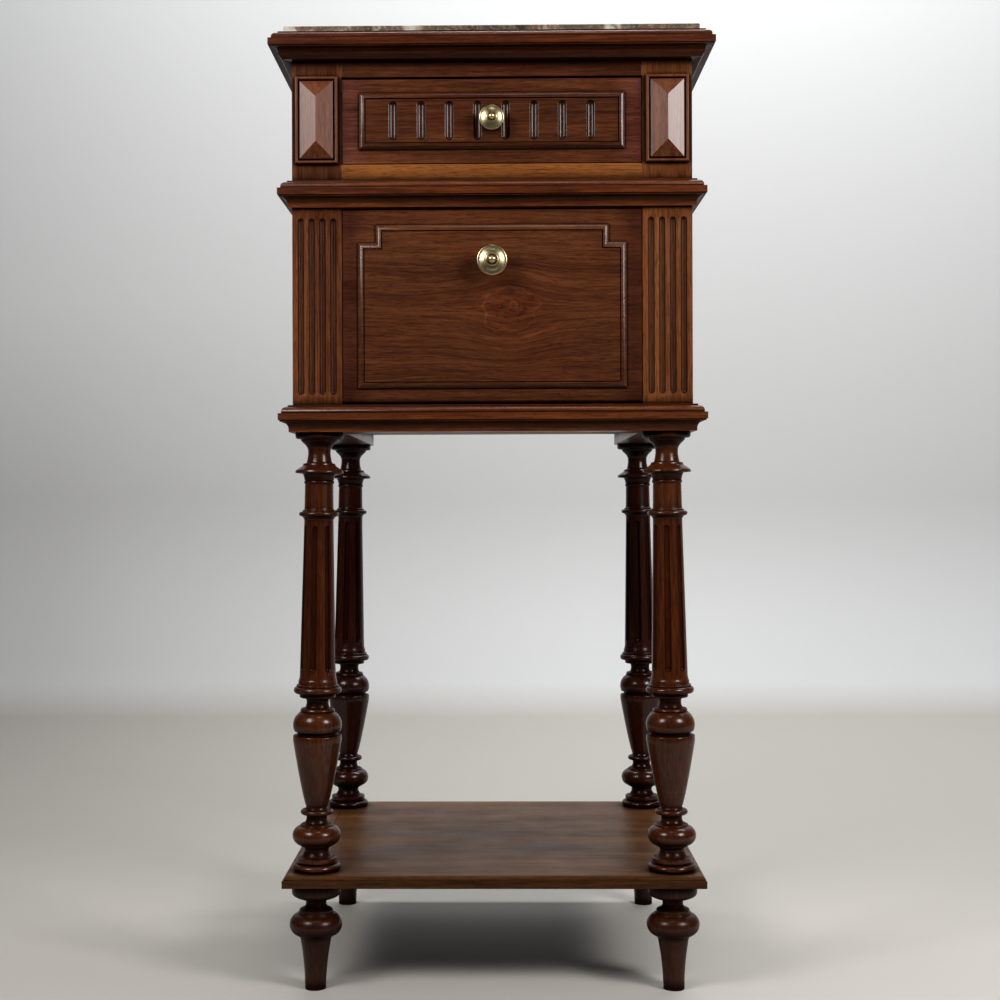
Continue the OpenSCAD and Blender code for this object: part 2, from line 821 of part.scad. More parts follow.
module drawer_field() {
    w = 2 * (drawer_half_w - drawer_margin);
    color(walnut) translate([0, face_y, drawer_knob_z]) difference() {
        rotate([90, 0, 0]) raised_field(rectangle(w, drawer_field_h));
        translate([0, -field_h, 0]) for (i = [0:drawer_flute_count - 1])
            translate([(i - (drawer_flute_count - 1) / 2) * drawer_flute_pitch, 0, 0])
                flute(drawer_flute_w, drawer_flute_d, drawer_flute_l);
        translate([0, 1, 0]) rotate([90, 0, 0])
            cylinder(d = knob_screw_d + 2 * glue_gap, h = edge_h + 2);
    }
}

// Flat field inside a rounded edge, with a fine groove between them
module raised_field(pts) {
    linear_extrude(field_h) polygon([for (i = [0:len(pts) - 1]) mitre(pts, i, edge_w)]);
    linear_extrude(field_h - edge_groove_d) polygon([for (i = [0:len(pts) - 1]) mitre(pts, i, edge_w / 2)]);
    mitred_edge(pts, edge_w, edge_h) edge_section();
}

module edge_section() {
    crown = edge_w - edge_groove_w;
    toe = 0.7;
    polygon(concat(
        [[0, 0], [0, toe]],
        [for (i = [1:8]) let (a = i * 90 / 8) [crown * 0.8 * (1 - cos(a)), toe + (edge_h - toe) * sin(a)]],
        [[crown, edge_h], [crown, field_h - edge_groove_d],
         [edge_w, field_h - edge_groove_d], [edge_w, 0]]
    ));
}

module drawer_side(side) {
    color(pale_wood) on_side(side) difference() {
        union() {
            slab([drawer_half_w - drawer_side_t, face_y + drawer_front_t, drawer_z],
                 [drawer_half_w, drawer_end, drawer_side_top]);
            tails(0);
        }
        drawer_bottom_space(glue_gap);
    }
}

module drawer_side_left() { drawer_side(-1); }

module drawer_side_right() { drawer_side(1); }

module drawer_back() {
    edge = drawer_half_w - drawer_side_t;
    color(pale_wood) slab([-edge, drawer_end - drawer_back_t, groove_z + drawer_bottom_t + glue_gap],
                          [edge, drawer_end, drawer_side_top - drawer_back_drop]);
}

module drawer_bottom() {
    edge = drawer_half_w - drawer_side_t + drawer_groove_d;
    color(pale_wood) slab([-edge, face_y + drawer_front_t - drawer_groove_d, groove_z],
                          [edge, drawer_end, groove_z + drawer_bottom_t]);
}

module drawer_knob() { knob(drawer_knob_d, drawer_knob_z, field_h); }

module drawer_knob_screw() { knob_screw(drawer_knob_z, drawer_front_t, field_h); }

// ---------- knobs ----------

// Turned knob: a foot on the wood, a waisted stem, and a head with a dished face and a button
module knob(d, z, seat) {
    r = d / 2;
    reach = knob_reach * d;
    head_z = reach * 0.62;
    rim = r * 0.09;
    outline = concat(
        [[0, 0], [r * 0.58, 0]],
        arc(r * 0.5, r * 0.08, r * 0.08, 0, 90, 4),
        sweep(r * 0.42, r * 0.17, r * 0.3, reach * 0.3, 0.5, 5),
        sweep(r * 0.3, reach * 0.34, r * 0.86, head_z - rim, 3, 8),
        arc(r - rim, head_z, rim, -60, 120, 8),
        sweep(r * 0.84, head_z + rim * 0.5, r * 0.42, head_z + reach * 0.14, 1, 3),
        arc(r * 0.37, head_z + reach * 0.16, r * 0.05, 0, 150, 5),
        [[r * 0.29, head_z + reach * 0.15]],
        arc(0, reach - r * 0.27, r * 0.27, 0, 90, 8)
    );
    color(brass_yellow) translate([0, face_y - seat, z]) rotate([90, 0, 0]) difference() {
        rotate_extrude() polygon(outline);
        translate([0, 0, -1]) cylinder(d = knob_screw_d + 2 * glue_gap, h = knob_thread + 1.5);
    }
}

function screw_head_d() = 2 * knob_screw_d;

// Countersunk screw from behind the board into the knob
module knob_screw(z, board, seat) {
    head_h = knob_screw_d / 2;
    slot_w = knob_screw_d / 5;
    color(steel_grey) translate([0, face_y + board, z]) rotate([90, 0, 0]) difference() {
        union() {
            cylinder(d1 = screw_head_d(), d2 = knob_screw_d, h = head_h);
            cylinder(d = knob_screw_d, h = board + seat + knob_thread);
        }
        translate([-screw_head_d(), -slot_w / 2, -1]) cube([2 * screw_head_d(), slot_w, 1 + head_h / 2]);
    }
}

// Bore and countersink for a knob's screw, open at both faces of any board up to the drawer front's
module knob_bore(z, board = drawer_front_t) {
    head_h = knob_screw_d / 2;
    translate([0, face_y + board, z]) rotate([90, 0, 0]) {
        translate([0, 0, -1]) cylinder(d = knob_screw_d + 2 * glue_gap, h = board + 2);
        cylinder(d1 = screw_head_d() + 4 * glue_gap, d2 = knob_screw_d + 2 * glue_gap,
                 h = head_h + glue_gap);
    }
}

// ---------- door ----------

// Whole door as one board whose lower front edge is rounded about the hinge axis
module door_blank() {
    rotate([90, 0, 90]) linear_extrude(2 * door_half_w, center = true) union() {
        translate([face_y, pin_z]) square([door_t, door_top - pin_z]);
        translate([pin_y, door_z]) square([door_t - pin_inset, pin_inset + 1]);
        translate([pin_y, pin_z]) circle(pin_inset);
    }
}

module door_stile(side) {
    color(walnut_dark) on_side(side) difference() {
        intersection() {
            door_blank();
            slab([door_half_w - stile_w, face_y - 1, door_z - 1],
                 [door_half_w + 1, door_back_y + 1, door_top + 1]);
        }
        translate([door_half_w - pin_in_door, pin_y, pin_z]) rotate([0, 90, 0])
            cylinder(d = pin_d, h = pin_in_door + 1);
    }
}

module door_stile_left() { door_stile(-1); }

module door_stile_right() { door_stile(1); }

module door_rail_top() {
    color(walnut) difference() {
        slab([stile_w - door_half_w, face_y, door_top - door_top_rail_h],
             [door_half_w - stile_w, door_back_y, door_top]);
        translate([0, catch_y, catch_z]) cylinder(d = catch_d + 2 * glue_gap, h = catch_l + 1);
        knob_bore(door_knob_z, door_t);
    }
}

module door_rail_bottom() {
    color(walnut) intersection() {
        door_blank();
        slab([stile_w - door_half_w, face_y - 1, door_z - 1],
             [door_half_w - stile_w, door_back_y + 1, door_z + door_low_rail_h]);
    }
}

module door_core() {
    color(walnut) slab([stile_w - door_half_w, face_y, door_z + door_low_rail_h],
                       [door_half_w - stile_w, face_y + core_t, door_top - door_top_rail_h]);
}

// Raised field with a square notch in each upper corner
module door_field() {
    x = door_half_w - door_margin;
    low = door_z + door_margin;
    top = door_top - door_margin;
    outline = [
        [-x, low], [x, low], [x, top - notch], [x - notch, top - notch], [x - notch, top],
        [notch - x, top], [notch - x, top - notch], [-x, top - notch]
    ];
    color(walnut) translate([0, face_y, 0]) difference() {
        rotate([90, 0, 0]) raised_field(outline);
        translate([0, 1, door_knob_z]) rotate([90, 0, 0])
            cylinder(d = knob_screw_d + 2 * glue_gap, h = edge_h + 2);
    }
}

module door_knob() { knob(door_knob_d, door_knob_z, field_h); }

module door_knob_screw() { knob_screw(door_knob_z, door_t, field_h); }

// Steel pins in the door's stiles, which turn in bores in the front posts
module hinge_pins() {
    color(steel_grey) for (side = [-1, 1]) on_side(side)
        translate([door_half_w - pin_in_door, pin_y, pin_z]) rotate([0, 90, 0])
            cylinder(d = pin_d, h = pin_in_door + door_side_gap + pin_in_post);
}

// Brass barrel of the ball catch, let into the door's upper edge
module catch_barrel() {
    bore_d = ball_d + 2 * ball_gap;
    color(brass_yellow) translate([0, catch_y, 0]) difference() {
        translate([0, 0, catch_z]) cylinder(d = catch_d, h = catch_l);
        translate([0, 0, catch_z + catch_floor]) {
            cylinder(d = bore_d, h = ball_z - catch_z - catch_floor);
            cylinder(d = catch_mouth_d, h = catch_l);
        }
        translate([0, 0, ball_z]) sphere(d = bore_d);
    }
}

module catch_ball() {
    color(steel_grey) translate([0, catch_y, ball_z]) sphere(d = ball_d);
}

// Coil spring under the ball: a wire of six sides, swept along a helix
module catch_spring() {
    low = catch_z + catch_floor + spring_wire / 2 + glue_gap;
    high = ball_z - ball_d / 2 - spring_wire / 2 - glue_gap;
    steps = 12;
    rings = spring_coils * steps;
    r = (spring_d - spring_wire) / 2;
    points = [for (i = [0:rings], j = [0:5])
        let (a = i * 360 / steps, b = j * 60, reach = r + spring_wire / 2 * cos(b))
        [reach * cos(a), reach * sin(a), low + i * (high - low) / rings + spring_wire / 2 * sin(b)]];
    sides = [for (i = [0:rings - 1], j = [0:5]) let (k = (j + 1) % 6)
        each [[6 * i + j, 6 * i + 6 + j, 6 * i + 6 + k], [6 * i + j, 6 * i + 6 + k, 6 * i + k]]];
    ends = [for (j = [1:4]) each [[0, j, j + 1], [6 * rings, 6 * rings + j + 1, 6 * rings + j]]];
    color(steel_grey) translate([0, catch_y, 0]) polyhedron(points, concat(sides, ends));
}

module strike_space(gap) {
    translate([0, catch_y, rail_z - 1]) linear_extrude(strike_t + 1 + gap)
        square([strike_w + 2 * gap, catch_d + 2 * gap], center = true);
}

// Strike plate, let into the rail above the catch, with a round dimple for the ball
module catch_strike() {
    color(brass_yellow) difference() {
        translate([0, catch_y, rail_z]) linear_extrude(strike_t)
            square([strike_w, catch_d], center = true);
        translate([0, catch_y, rail_z - 1]) cylinder(d = dimple_d, h = strike_t + 2);
    }
}

// ---------- shelf ----------

module shelf() {
    outline = [[-shelf_half_w, shelf_y0], [shelf_half_w, shelf_y0],
               [shelf_half_w, shelf_y1], [-shelf_half_w, shelf_y1]];
    upper = shelf_t - shelf_fascia_h;
    color(walnut) difference() {
        translate([0, 0, shelf_z]) {
            linear_extrude(shelf_t) polygon([for (i = [0:3]) mitre(outline, i, shelf_edge_w)]);
            linear_extrude(shelf_fascia_h) polygon([for (i = [0:3]) mitre(outline, i, shelf_edge_w / 2)]);
            mitred_edge(outline, shelf_edge_w, shelf_t) polygon(concat(
                [[0, 0], [0, shelf_fascia_h], [shelf_edge_w - upper, shelf_fascia_h]],
                arc(shelf_edge_w, shelf_t - upper * 0.9, upper * 0.9, 180, 90, 6),
                [[shelf_edge_w, 0]]
            ));
        }
        for (side = [-1, 1], depth = [-1, 1]) on_leg_axis(side, depth)
            translate([0, 0, shelf_z - 2])
                cylinder(d = foot_dowel_d + 2 * glue_gap, h = shelf_t + 4);
    }
}

// ---------- legs and feet ----------

// Puts an upright turning, modelled on the Z axis at its true height, on one leaning leg axis
module on_leg_axis(side, depth) {
    y = depth < 0 ? face_y + leg_inset : back_y - leg_inset;
    translate([side * leg_x, y, case_z]) rotate([0, -side * leg_lean, 0])
        translate([0, 0, -case_z]) children();
}

// Outline written for a flange of outline_d, at the legs' own diameter
function to_leg_d(points) = points * (leg_d / outline_d);

// Radius and height of the leg's outline, up from the shelf
function leg_outline(h, r_low, r_top) = concat(
    // base bead, step and hollow
    [[0, -cut_spare], [18.6, -cut_spare]],
    arc(18.6, 3.2, 3.2, -90, 90, 8),
    [[16.8, 6.6], [16.8, 7.6], [18, 8], [18, 11.6]],
    sweep(16.4, 12, 11.1, 17, 0.4, 6),
    sweep(11.1, 18.8, 14.6, 22.2, 2.5, 4),
    [[15.2, 22.4], [15.2, 24.2]],
    // big bead and small ring
    arc(13, 31.6, 8.9, -66, 66, 12),
    [[14.9, 40.3], [14.9, 41.3], [13, 42.4]],
    sweep(11.6, 42.7, 9.4, 46.4, 0.5, 5),
    [[9.4, 49.9]],
    arc(12.4, 52.8, 2.3, -90, 90, 8),
    [[10.4, 55.6]],
    // vase
    sweep(9.7, 57.6, 22, 117.5, 0.82, 16),
    arc(20.8, 121.4, 1.2, 0, 90, 4),
    [[18.4, 123.2], [18.2, 125.6]],
    // ball
    arc(8.3, 131.8, 13.8, -24, 62, 14),
    [[15.6, 144.4], [15.6, 145.2], [14.6, 146.8]],
    sweep(11.8, 147.4, 10, 151, 0.4, 5),
    sweep(10, 153, 11, 155.8, 2, 3),
    [[15.8, 156.6], [16.3, 157.2], [16.3, 159.7], [15.8, 160.3]],
    // ring under the shaft
    arc(18.5, 163.4, 3.2, -90, 90, 8),
    [[19.2, 166.8], [19.2, 168.2]],
    [[17.6, 168.8], [17.5, 171.8]],
    sweep(17.3, 172.4, r_low, 177, 0.5, 5),
    // shaft, and the turnings above it
    [[r_top, h - 80.6]],
    sweep(r_top, h - 79.4, 15.3, h - 76, 2, 4),
    arc(16, h - 73.6, 2.1, -90, 90, 8),
    [[14.9, h - 71.2], [14.9, h - 70.2], [13.4, h - 69.4], [13.2, h - 67.6], [12.9, h - 49]],
    arc(11.7, h - 44.8, 2, -60, 60, 5),
    [[13.5, h - 42.4], [13.5, h - 41.2], [14, h - 39.4], [14.9, h - 37.2]],
    // flange and neck under the case
    [[21.6, h - 36.5], [21.8, h - 35.4], [21.2, h - 33.9], [18.5, h - 32.1]],
    [[15.8, h - 30.5], [14.7, h - 29.2], [14.5, h - 27.9]],
    sweep(11.9, h - 27.3, 10.2, h - 19.5, 0.6, 6),
    sweep(10.2, h - 17, 14.6, h - 9.2, 2.2, 8),
    [[15.2, h - 8.6], [16.5, h - 7.3], [16.8, h - 5.9]],
    arc(18.9, h - 3, 2.9, -60, 0, 5),
    [[21.8, h + cut_spare], [0, h + cut_spare]]
);

// Flutes of the shaft: tapered grooves with round ends that follow the shaft's slope
module leg_flutes() {
    low = shelf_top + low_turning_h + leg_flute_end + leg_flute_w_low / 2;
    high = case_z - top_turning_h - leg_flute_end - leg_flute_w_top / 2;
    slope = atan2(shaft_r_low - shaft_r_top, leg_h - low_turning_h - top_turning_h);
    for (i = [0:leg_flute_count - 1])
        rotate([0, 0, leg_flute_turn - 90 + i * 360 / leg_flute_count])
        translate([shaft_r_low + leg_flute_w_low * 0.18, 0, low]) rotate([0, -slope, 0]) {
            cylinder(d1 = leg_flute_w_low, d2 = leg_flute_w_top, h = high - low);
            sphere(d = leg_flute_w_low);
            translate([0, 0, high - low]) sphere(d = leg_flute_w_top);
        }
}

module leg(side, depth) {
    unit = outline_d / leg_d;
    color(walnut_dark) difference() {
        union() {
            intersection() {
                on_leg_axis(side, depth) difference() {
                    translate([0, 0, shelf_top]) rotate_extrude() polygon(to_leg_d(
                        leg_outline(leg_h * unit, shaft_r_low * unit, shaft_r_top * unit)));
                    leg_flutes();
                }
                slab([-case_w, -case_d, shelf_top], [case_w, case_d, case_z]);
            }
            on_leg_axis(side, depth) translate([0, 0, case_z - 2])
                cylinder(d = leg_dowel_d, h = leg_dowel_l + 2);
        }
        on_leg_axis(side, depth) translate([0, 0, shelf_top - 2])
            cylinder(d = foot_dowel_d + 2 * glue_gap, h = foot_dowel_l + 3);
    }
}

module leg_front_left() { leg(-1, -1); }

module leg_front_right() { leg(1, -1); }

module leg_back_left() { leg(-1, 1); }

module leg_back_right() { leg(1, 1); }

// Radius and height of the foot's outline, up from the floor
function foot_outline(h) = concat(
    [[0, -cut_spare], [9.6, -cut_spare]],
    sweep(9.6, 0, 14, h - 50.8, 1.9, 10),
    [[14.7, h - 50], [15, h - 48.8]],
    arc(13.7, h - 38, 10.2, -70, 60, 14),
    [[16.6, h - 28.4], [16.4, h - 27.3], [15.1, h - 26.6], [15.1, h - 24.6], [13.8, h - 23.8]],
    sweep(12.2, h - 23, 9.3, h - 20.2, 0.5, 5),
    [[9.3, h - 16.9], [9.9, h - 15.1], [15.8, h - 14.1]],
    sweep(17.2, h - 13.4, 21.3, h - 11.2, 0.7, 4),
    arc(18.8, h - 8.6, 3.4, -35, 0, 3),
    [[22.2, h + cut_spare], [0, h + cut_spare]]
);

module foot(side, depth) {
    color(walnut_dark) union() {
        intersection() {
            on_leg_axis(side, depth) rotate_extrude()
                polygon(to_leg_d(foot_outline(foot_h * outline_d / leg_d)));
            slab([-case_w, -case_d, 0], [case_w, case_d, shelf_z]);
        }
        on_leg_axis(side, depth) translate([0, 0, shelf_z - 2])
            cylinder(d = foot_dowel_d, h = shelf_t + foot_dowel_l + 2);
    }
}

module foot_front_left() { foot(-1, -1); }

module foot_front_right() { foot(1, -1); }

module foot_back_left() { foot(-1, 1); }

module foot_back_right() { foot(1, 1); }

marble_top();
cornice_front();
cornice_left();
cornice_right();
cornice_back();
front_post_left();
front_post_right();
back_post_left();
back_post_right();
side_panel_left();
side_panel_right();
back_panel();
diamond_block_left();
diamond_block_right();
waist_moulding_front();
waist_moulding_left();
waist_moulding_right();
base_frame_front();
base_frame_left();
base_frame_right();
base_frame_back();
bottom_panel();
upper_rail();
drawer_rail();
dust_board();
drawer_runners();
drawer_guides();
drawer_kickers();
drawer_stops();
door_stops();
drawer_front();
drawer_field();
drawer_side_left();
drawer_side_right();
drawer_back();
drawer_bottom();
drawer_knob();
drawer_knob_screw();
door_stile_left();
door_stile_right();
door_rail_top();
door_rail_bottom();
door_core();
door_field();
door_knob();
door_knob_screw();
hinge_pins();
catch_barrel();
catch_ball();
catch_spring();
catch_strike();
shelf();
leg_front_left();
leg_front_right();
leg_back_left();
leg_back_right();
foot_front_left();
foot_front_right();
foot_back_left();
foot_back_right();
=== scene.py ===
"""Dresses the bedside pot cupboard in walnut, marble and brass, and sets up a plain studio."""

import json
import math

import bmesh
import bpy
from mathutils import Matrix, Vector

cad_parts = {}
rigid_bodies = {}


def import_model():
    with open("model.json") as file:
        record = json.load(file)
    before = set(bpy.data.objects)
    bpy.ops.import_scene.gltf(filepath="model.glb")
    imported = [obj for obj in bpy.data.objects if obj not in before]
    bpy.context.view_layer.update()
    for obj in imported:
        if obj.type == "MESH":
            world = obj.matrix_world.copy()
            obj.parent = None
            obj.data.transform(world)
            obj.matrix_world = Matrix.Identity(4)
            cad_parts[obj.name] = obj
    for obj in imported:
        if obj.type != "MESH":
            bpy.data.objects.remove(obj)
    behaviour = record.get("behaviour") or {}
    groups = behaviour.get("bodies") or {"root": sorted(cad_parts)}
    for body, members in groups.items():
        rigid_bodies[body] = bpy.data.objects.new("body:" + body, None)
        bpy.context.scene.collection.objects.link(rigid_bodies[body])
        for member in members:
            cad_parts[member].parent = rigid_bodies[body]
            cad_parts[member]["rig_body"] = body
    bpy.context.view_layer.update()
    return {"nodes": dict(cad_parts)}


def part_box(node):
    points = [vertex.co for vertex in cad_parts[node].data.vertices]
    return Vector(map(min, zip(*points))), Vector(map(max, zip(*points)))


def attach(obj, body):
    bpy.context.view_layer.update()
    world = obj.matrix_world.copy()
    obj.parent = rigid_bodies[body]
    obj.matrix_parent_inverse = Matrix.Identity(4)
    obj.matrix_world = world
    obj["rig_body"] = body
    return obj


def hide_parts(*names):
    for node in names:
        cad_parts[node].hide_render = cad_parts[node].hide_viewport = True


bl_info = {
    "name": "Pot Cupboard Dresser",
    "version": (1, 0, 0),
    "blender": (4, 5, 0),
    "location": "View3D > Sidebar > Pot Cupboard",
    "description": "Softens, carves and finishes a bedside pot cupboard and sets up its studio",
    "category": "Object",
}

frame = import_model()
NODES = frame["nodes"]
FACE_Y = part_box("front_post_left")[0].y
BACK_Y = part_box("back_post_left")[1].y


# ---------- settings ----------

def colour_setting(name, description, default):
    return bpy.props.FloatVectorProperty(
        name=name, description=description, default=default, size=3, min=0.0, max=1.0, subtype="COLOR"
    )


def number_setting(name, description, default, lowest, highest, **kinds):
    return bpy.props.FloatProperty(
        name=name, description=description, default=default, min=lowest, max=highest, **kinds
    )


class CupboardWoodSettings(bpy.types.PropertyGroup):
    """Colours and polish of the wooden pieces."""

    dark: colour_setting("Dark walnut", "Colour of the darkest grain", (0.026, 0.0064, 0.0026))
    brown: colour_setting("Walnut", "Main colour of the polished walnut", (0.074, 0.0212, 0.0072))
    light: colour_setting("Light walnut", "Colour of the lightest grain", (0.140, 0.046, 0.0155))
    # Colour painted into hollows and onto undersides: partly wax, partly painted shade
    wax_and_shade: colour_setting("Old wax", "Colour of the dark wax in hollows", (0.006, 0.0016, 0.0008))
    raw_dark: colour_setting("Raw wood grain", "Darker grain of the unpolished boards", (0.30, 0.185, 0.10))
    raw: colour_setting("Raw wood", "Main colour of the unpolished boards", (0.46, 0.33, 0.205))
    raw_light: colour_setting("Raw sapwood", "Lightest grain of the unpolished boards", (0.58, 0.45, 0.31))
    arris: number_setting(
        "Worn arris", "Width of the softened edges of the boards", 0.0005, 0.0001, 0.002, unit="LENGTH"
    )
    polish: number_setting(
        "Polish roughness", "Roughness of the polished walnut", 0.34, 0.05, 0.9, subtype="FACTOR"
    )


class CupboardMetalSettings(bpy.types.PropertyGroup):
    """Colours of the brass and steel pieces."""

    brass: colour_setting("Brass", "Colour of the knobs and the catch", (0.57, 0.465, 0.25))
    tarnish: colour_setting("Tarnish", "Colour of the brass in its hollows", (0.16, 0.11, 0.035))
    steel: colour_setting("Steel", "Colour of pins and screws", (0.50, 0.49, 0.47))


class CupboardMarbleSettings(bpy.types.PropertyGroup):
    """Colours of the marble slab."""

    ground: colour_setting("Marble ground", "Main colour of the slab", (0.105, 0.078, 0.055))
    pale: colour_setting("Marble patches", "Colour of the pale patches", (0.52, 0.48, 0.41))
    vein: colour_setting("Marble veins", "Colour of the dark veins", (0.030, 0.022, 0.016))


class CupboardStageSettings(bpy.types.PropertyGroup):
    """Camera, lights and background."""

    lens: number_setting("Focal length", "Focal length in millimetres", 57.6, 20.0, 200.0)
    camera_height: number_setting(
        "Camera height", "Height of the camera above the floor", 0.441, 0.1, 2.0, unit="LENGTH"
    )
    camera_distance: number_setting(
        "Camera distance", "Distance from the camera to the case's front", 1.4312, 0.5, 5.0, unit="LENGTH"
    )
    camera_side: number_setting(
        "Camera offset", "Sideways place of the camera", 0.0053, -0.5, 0.5, unit="LENGTH"
    )
    camera_roll: number_setting(
        "Camera roll", "Tilt of the camera about its view axis", math.radians(-0.185), -0.2, 0.2,
        unit="ROTATION",
    )
    camera_turn: number_setting(
        "Camera turn", "Angle between the view axis and the cupboard's depth", math.radians(0.84), -0.2, 0.2,
        unit="ROTATION",
    )
    camera_shift: bpy.props.FloatVectorProperty(
        name="Camera shift", description="Shift of the picture, in picture widths", size=2,
        default=(0.0247, 0.0023),
    )
    wall: colour_setting("Wall", "Colour of the backdrop", (0.64, 0.65, 0.655))
    floor: colour_setting("Floor", "Colour of the floor", (0.49, 0.475, 0.44))


# ---------- node helpers ----------

class Sheet:
    """A material's node tree, built one node at a time."""

    def __init__(self, name):
        self.material = bpy.data.materials.new(name)
        self.material.use_nodes = True
        self.tree = self.material.node_tree
        self.tree.nodes.clear()
        self.shader = self.add("ShaderNodeBsdfPrincipled")
        self.add("ShaderNodeOutputMaterial", Surface=self.shader.outputs["BSDF"])
        place = self.add("ShaderNodeTexCoord")
        self.coordinates, self.facing = place.outputs["Object"], place.outputs["Normal"]

    def put(self, socket, value):
        if isinstance(value, bpy.types.NodeSocket):
            self.tree.links.new(value, socket)
        elif value is not None:
            socket.default_value = value

    def add(self, kind, **inputs):
        """Adds a node whose inputs are plain values or other nodes' outputs."""
        node = self.tree.nodes.new(kind)
        for key, value in inputs.items():
            self.put(node.inputs[key.replace("_", " ")], value)
        return node

    def noise(self, scale=1.0, detail=3.0, roughness=0.55, distortion=0.0, vector=None, output="Fac"):
        node = self.add(
            "ShaderNodeTexNoise", Vector=self.coordinates if vector is None else vector,
            Scale=scale, Detail=detail, Roughness=roughness, Distortion=distortion,
        )
        return node.outputs[output]

    def vector_math(self, operation, first, second=(0, 0, 0)):
        node = self.add("ShaderNodeVectorMath")
        node.operation = operation
        self.put(node.inputs[0], first)
        self.put(node.inputs[1], second)
        return node.outputs["Value" if operation == "LENGTH" else "Vector"]

    def maths(self, operation, first, second=0.0):
        node = self.add("ShaderNodeMath")
        node.operation = operation
        self.put(node.inputs[0], first)
        self.put(node.inputs[1], second)
        return node.outputs["Value"]

    def part(self, vector, axis):
        """One of the X, Y and Z parts of a vector."""
        return self.add("ShaderNodeSeparateXYZ", Vector=vector).outputs[axis]

    def spread(self, value, low, high, to_low=0.0, to_high=1.0):
        """Maps a value from one range to another, kept inside it."""
        node = self.add(
            "ShaderNodeMapRange", Value=value, From_Min=low, From_Max=high, To_Min=to_low, To_Max=to_high
        )
        node.clamp = True
        return node.outputs["Result"]

    def ramp(self, value, stops):
        node = self.add("ShaderNodeValToRGB", Fac=value)
        band = node.color_ramp
        while len(band.elements) < len(stops):
            band.elements.new(0.5)
        for element, (position, colour) in zip(band.elements, stops):
            element.position = position
            element.color = (*colour, 1.0)
        return node.outputs["Color"]

    def mix(self, factor, first, second, blend="MIX"):
        node = self.add("ShaderNodeMix", Factor=factor)
        node.data_type, node.blend_type, node.clamp_factor = "RGBA", blend, True
        colours = [socket for socket in node.inputs if socket.type == "RGBA"]
        for socket, value in zip(colours, (first, second)):
            self.put(socket, value if isinstance(value, bpy.types.NodeSocket) else (*value, 1.0))
        return next(socket for socket in node.outputs if socket.type == "RGBA")

    def stain(self, colour, tint, strength):
        """Multiplies a colour by a tint, as far as the strength says."""
        return self.mix(strength, colour, self.mix(1.0, colour, tint, blend="MULTIPLY"))

    def crevice(self, reach, deepest, shallowest, only_local=False):
        """1 in hollows narrower than the reach, 0 on open surfaces."""
        node = self.add("ShaderNodeAmbientOcclusion", Distance=reach)
        node.samples, node.only_local = 8, only_local
        return self.spread(node.outputs["AO"], deepest, shallowest, 1.0, 0.0)

    def bump(self, height, strength, distance):
        node = self.add("ShaderNodeBump", Height=height, Strength=strength, Distance=distance)
        return node.outputs["Normal"]

    def finish(self, colour, roughness, **inputs):
        """Sets the shader's inputs, each a plain value or a node's output, and gives the material."""
        for key, value in dict(inputs, Base_Color=colour, Roughness=roughness).items():
            self.put(self.shader.inputs[key.replace("_", " ")], value)
        return self.material


# Turns that lay the pattern's X axis along the grain
GRAIN_TURN = {
    "X": (0.0, 0.0, 0.0),
    "Y": (0.0, 0.0, math.radians(-90)),
    "Z": (0.0, math.radians(90), 0.0),
}
# Scale along and across the grain, detail and roughness of its bands, streaks, fibres and pores
GRAIN_LAYERS = (
    (1.6, 40.0, 4.0, 0.6), (13.0, 380.0, 3.0, 0.6), (42.0, 880.0, 2.0, 0.6), (105.0, 1250.0, 1.0, 0.55),
)


def tinted(colour, tint):
    return tuple(min(1.0, c * t) for c, t in zip(colour, tint))


def shift_for(node):
    """A place in the grain pattern that is this piece's own."""
    number = sum((i + 3) * ord(c) for i, c in enumerate(node))
    return ((number % 97) * 0.173, (number % 89) * 0.119, (number % 83) * 0.141)


def round_knot(sheet, along, centre, reach, swell):
    """Bends the grain round a knot, so that its lines part above and below it."""
    offset = sheet.vector_math("SUBTRACT", sheet.coordinates, centre)
    gap = sheet.maths("DIVIDE", sheet.vector_math("LENGTH", offset), reach)
    fall = sheet.maths("EXPONENT", sheet.maths("MULTIPLY", sheet.maths("MULTIPLY", gap, gap), -1.0))
    bend = sheet.maths("MULTIPLY", sheet.part(offset, "Z"), sheet.maths("MULTIPLY", fall, -swell))
    push = sheet.add("ShaderNodeCombineXYZ", Z=bend)
    return sheet.vector_math("ADD", along, push.outputs["Vector"])


def knot_figure(sheet, colour, centre):
    """Draws a healed knot: a reddish oval with a pale outline, a small heart and a few dark specks."""

    def ring(distance, width, strength):
        gap = sheet.maths("ABSOLUTE", sheet.maths("SUBTRACT", distance, 1.0))
        return sheet.spread(gap, 0.0, width, strength, 0.0)

    wobble = sheet.noise(scale=55.0, detail=2.0, output="Color")
    shaken = sheet.vector_math("SUBTRACT", wobble, (0.5, 0.5, 0.5))
    offset = sheet.vector_math("SUBTRACT", sheet.coordinates, centre)
    oval = sheet.vector_math("ADD", sheet.vector_math("MULTIPLY", offset, (40.0, 0.0, 52.0)), shaken)
    distance = sheet.vector_math("LENGTH", oval)
    inside = sheet.spread(distance, 0.55, 1.1, 0.75, 0.0)
    colour = sheet.stain(colour, (0.84, 0.72, 0.68), inside)
    from_heart = sheet.vector_math("SUBTRACT", offset, (0.003, 0.0, 0.003))
    heart = sheet.vector_math("LENGTH", sheet.vector_math("MULTIPLY", from_heart, (330.0, 0.0, 330.0)))
    lines = sheet.maths("MAXIMUM", ring(distance, 0.07, 0.4), ring(heart, 0.5, 0.6))
    colour = sheet.stain(colour, (2.2, 2.1, 2.0), lines)
    specks = sheet.spread(sheet.noise(scale=330.0, detail=1.0), 0.66, 0.72)
    return sheet.stain(colour, (0.3, 0.25, 0.25), sheet.maths("MULTIPLY", specks, inside))


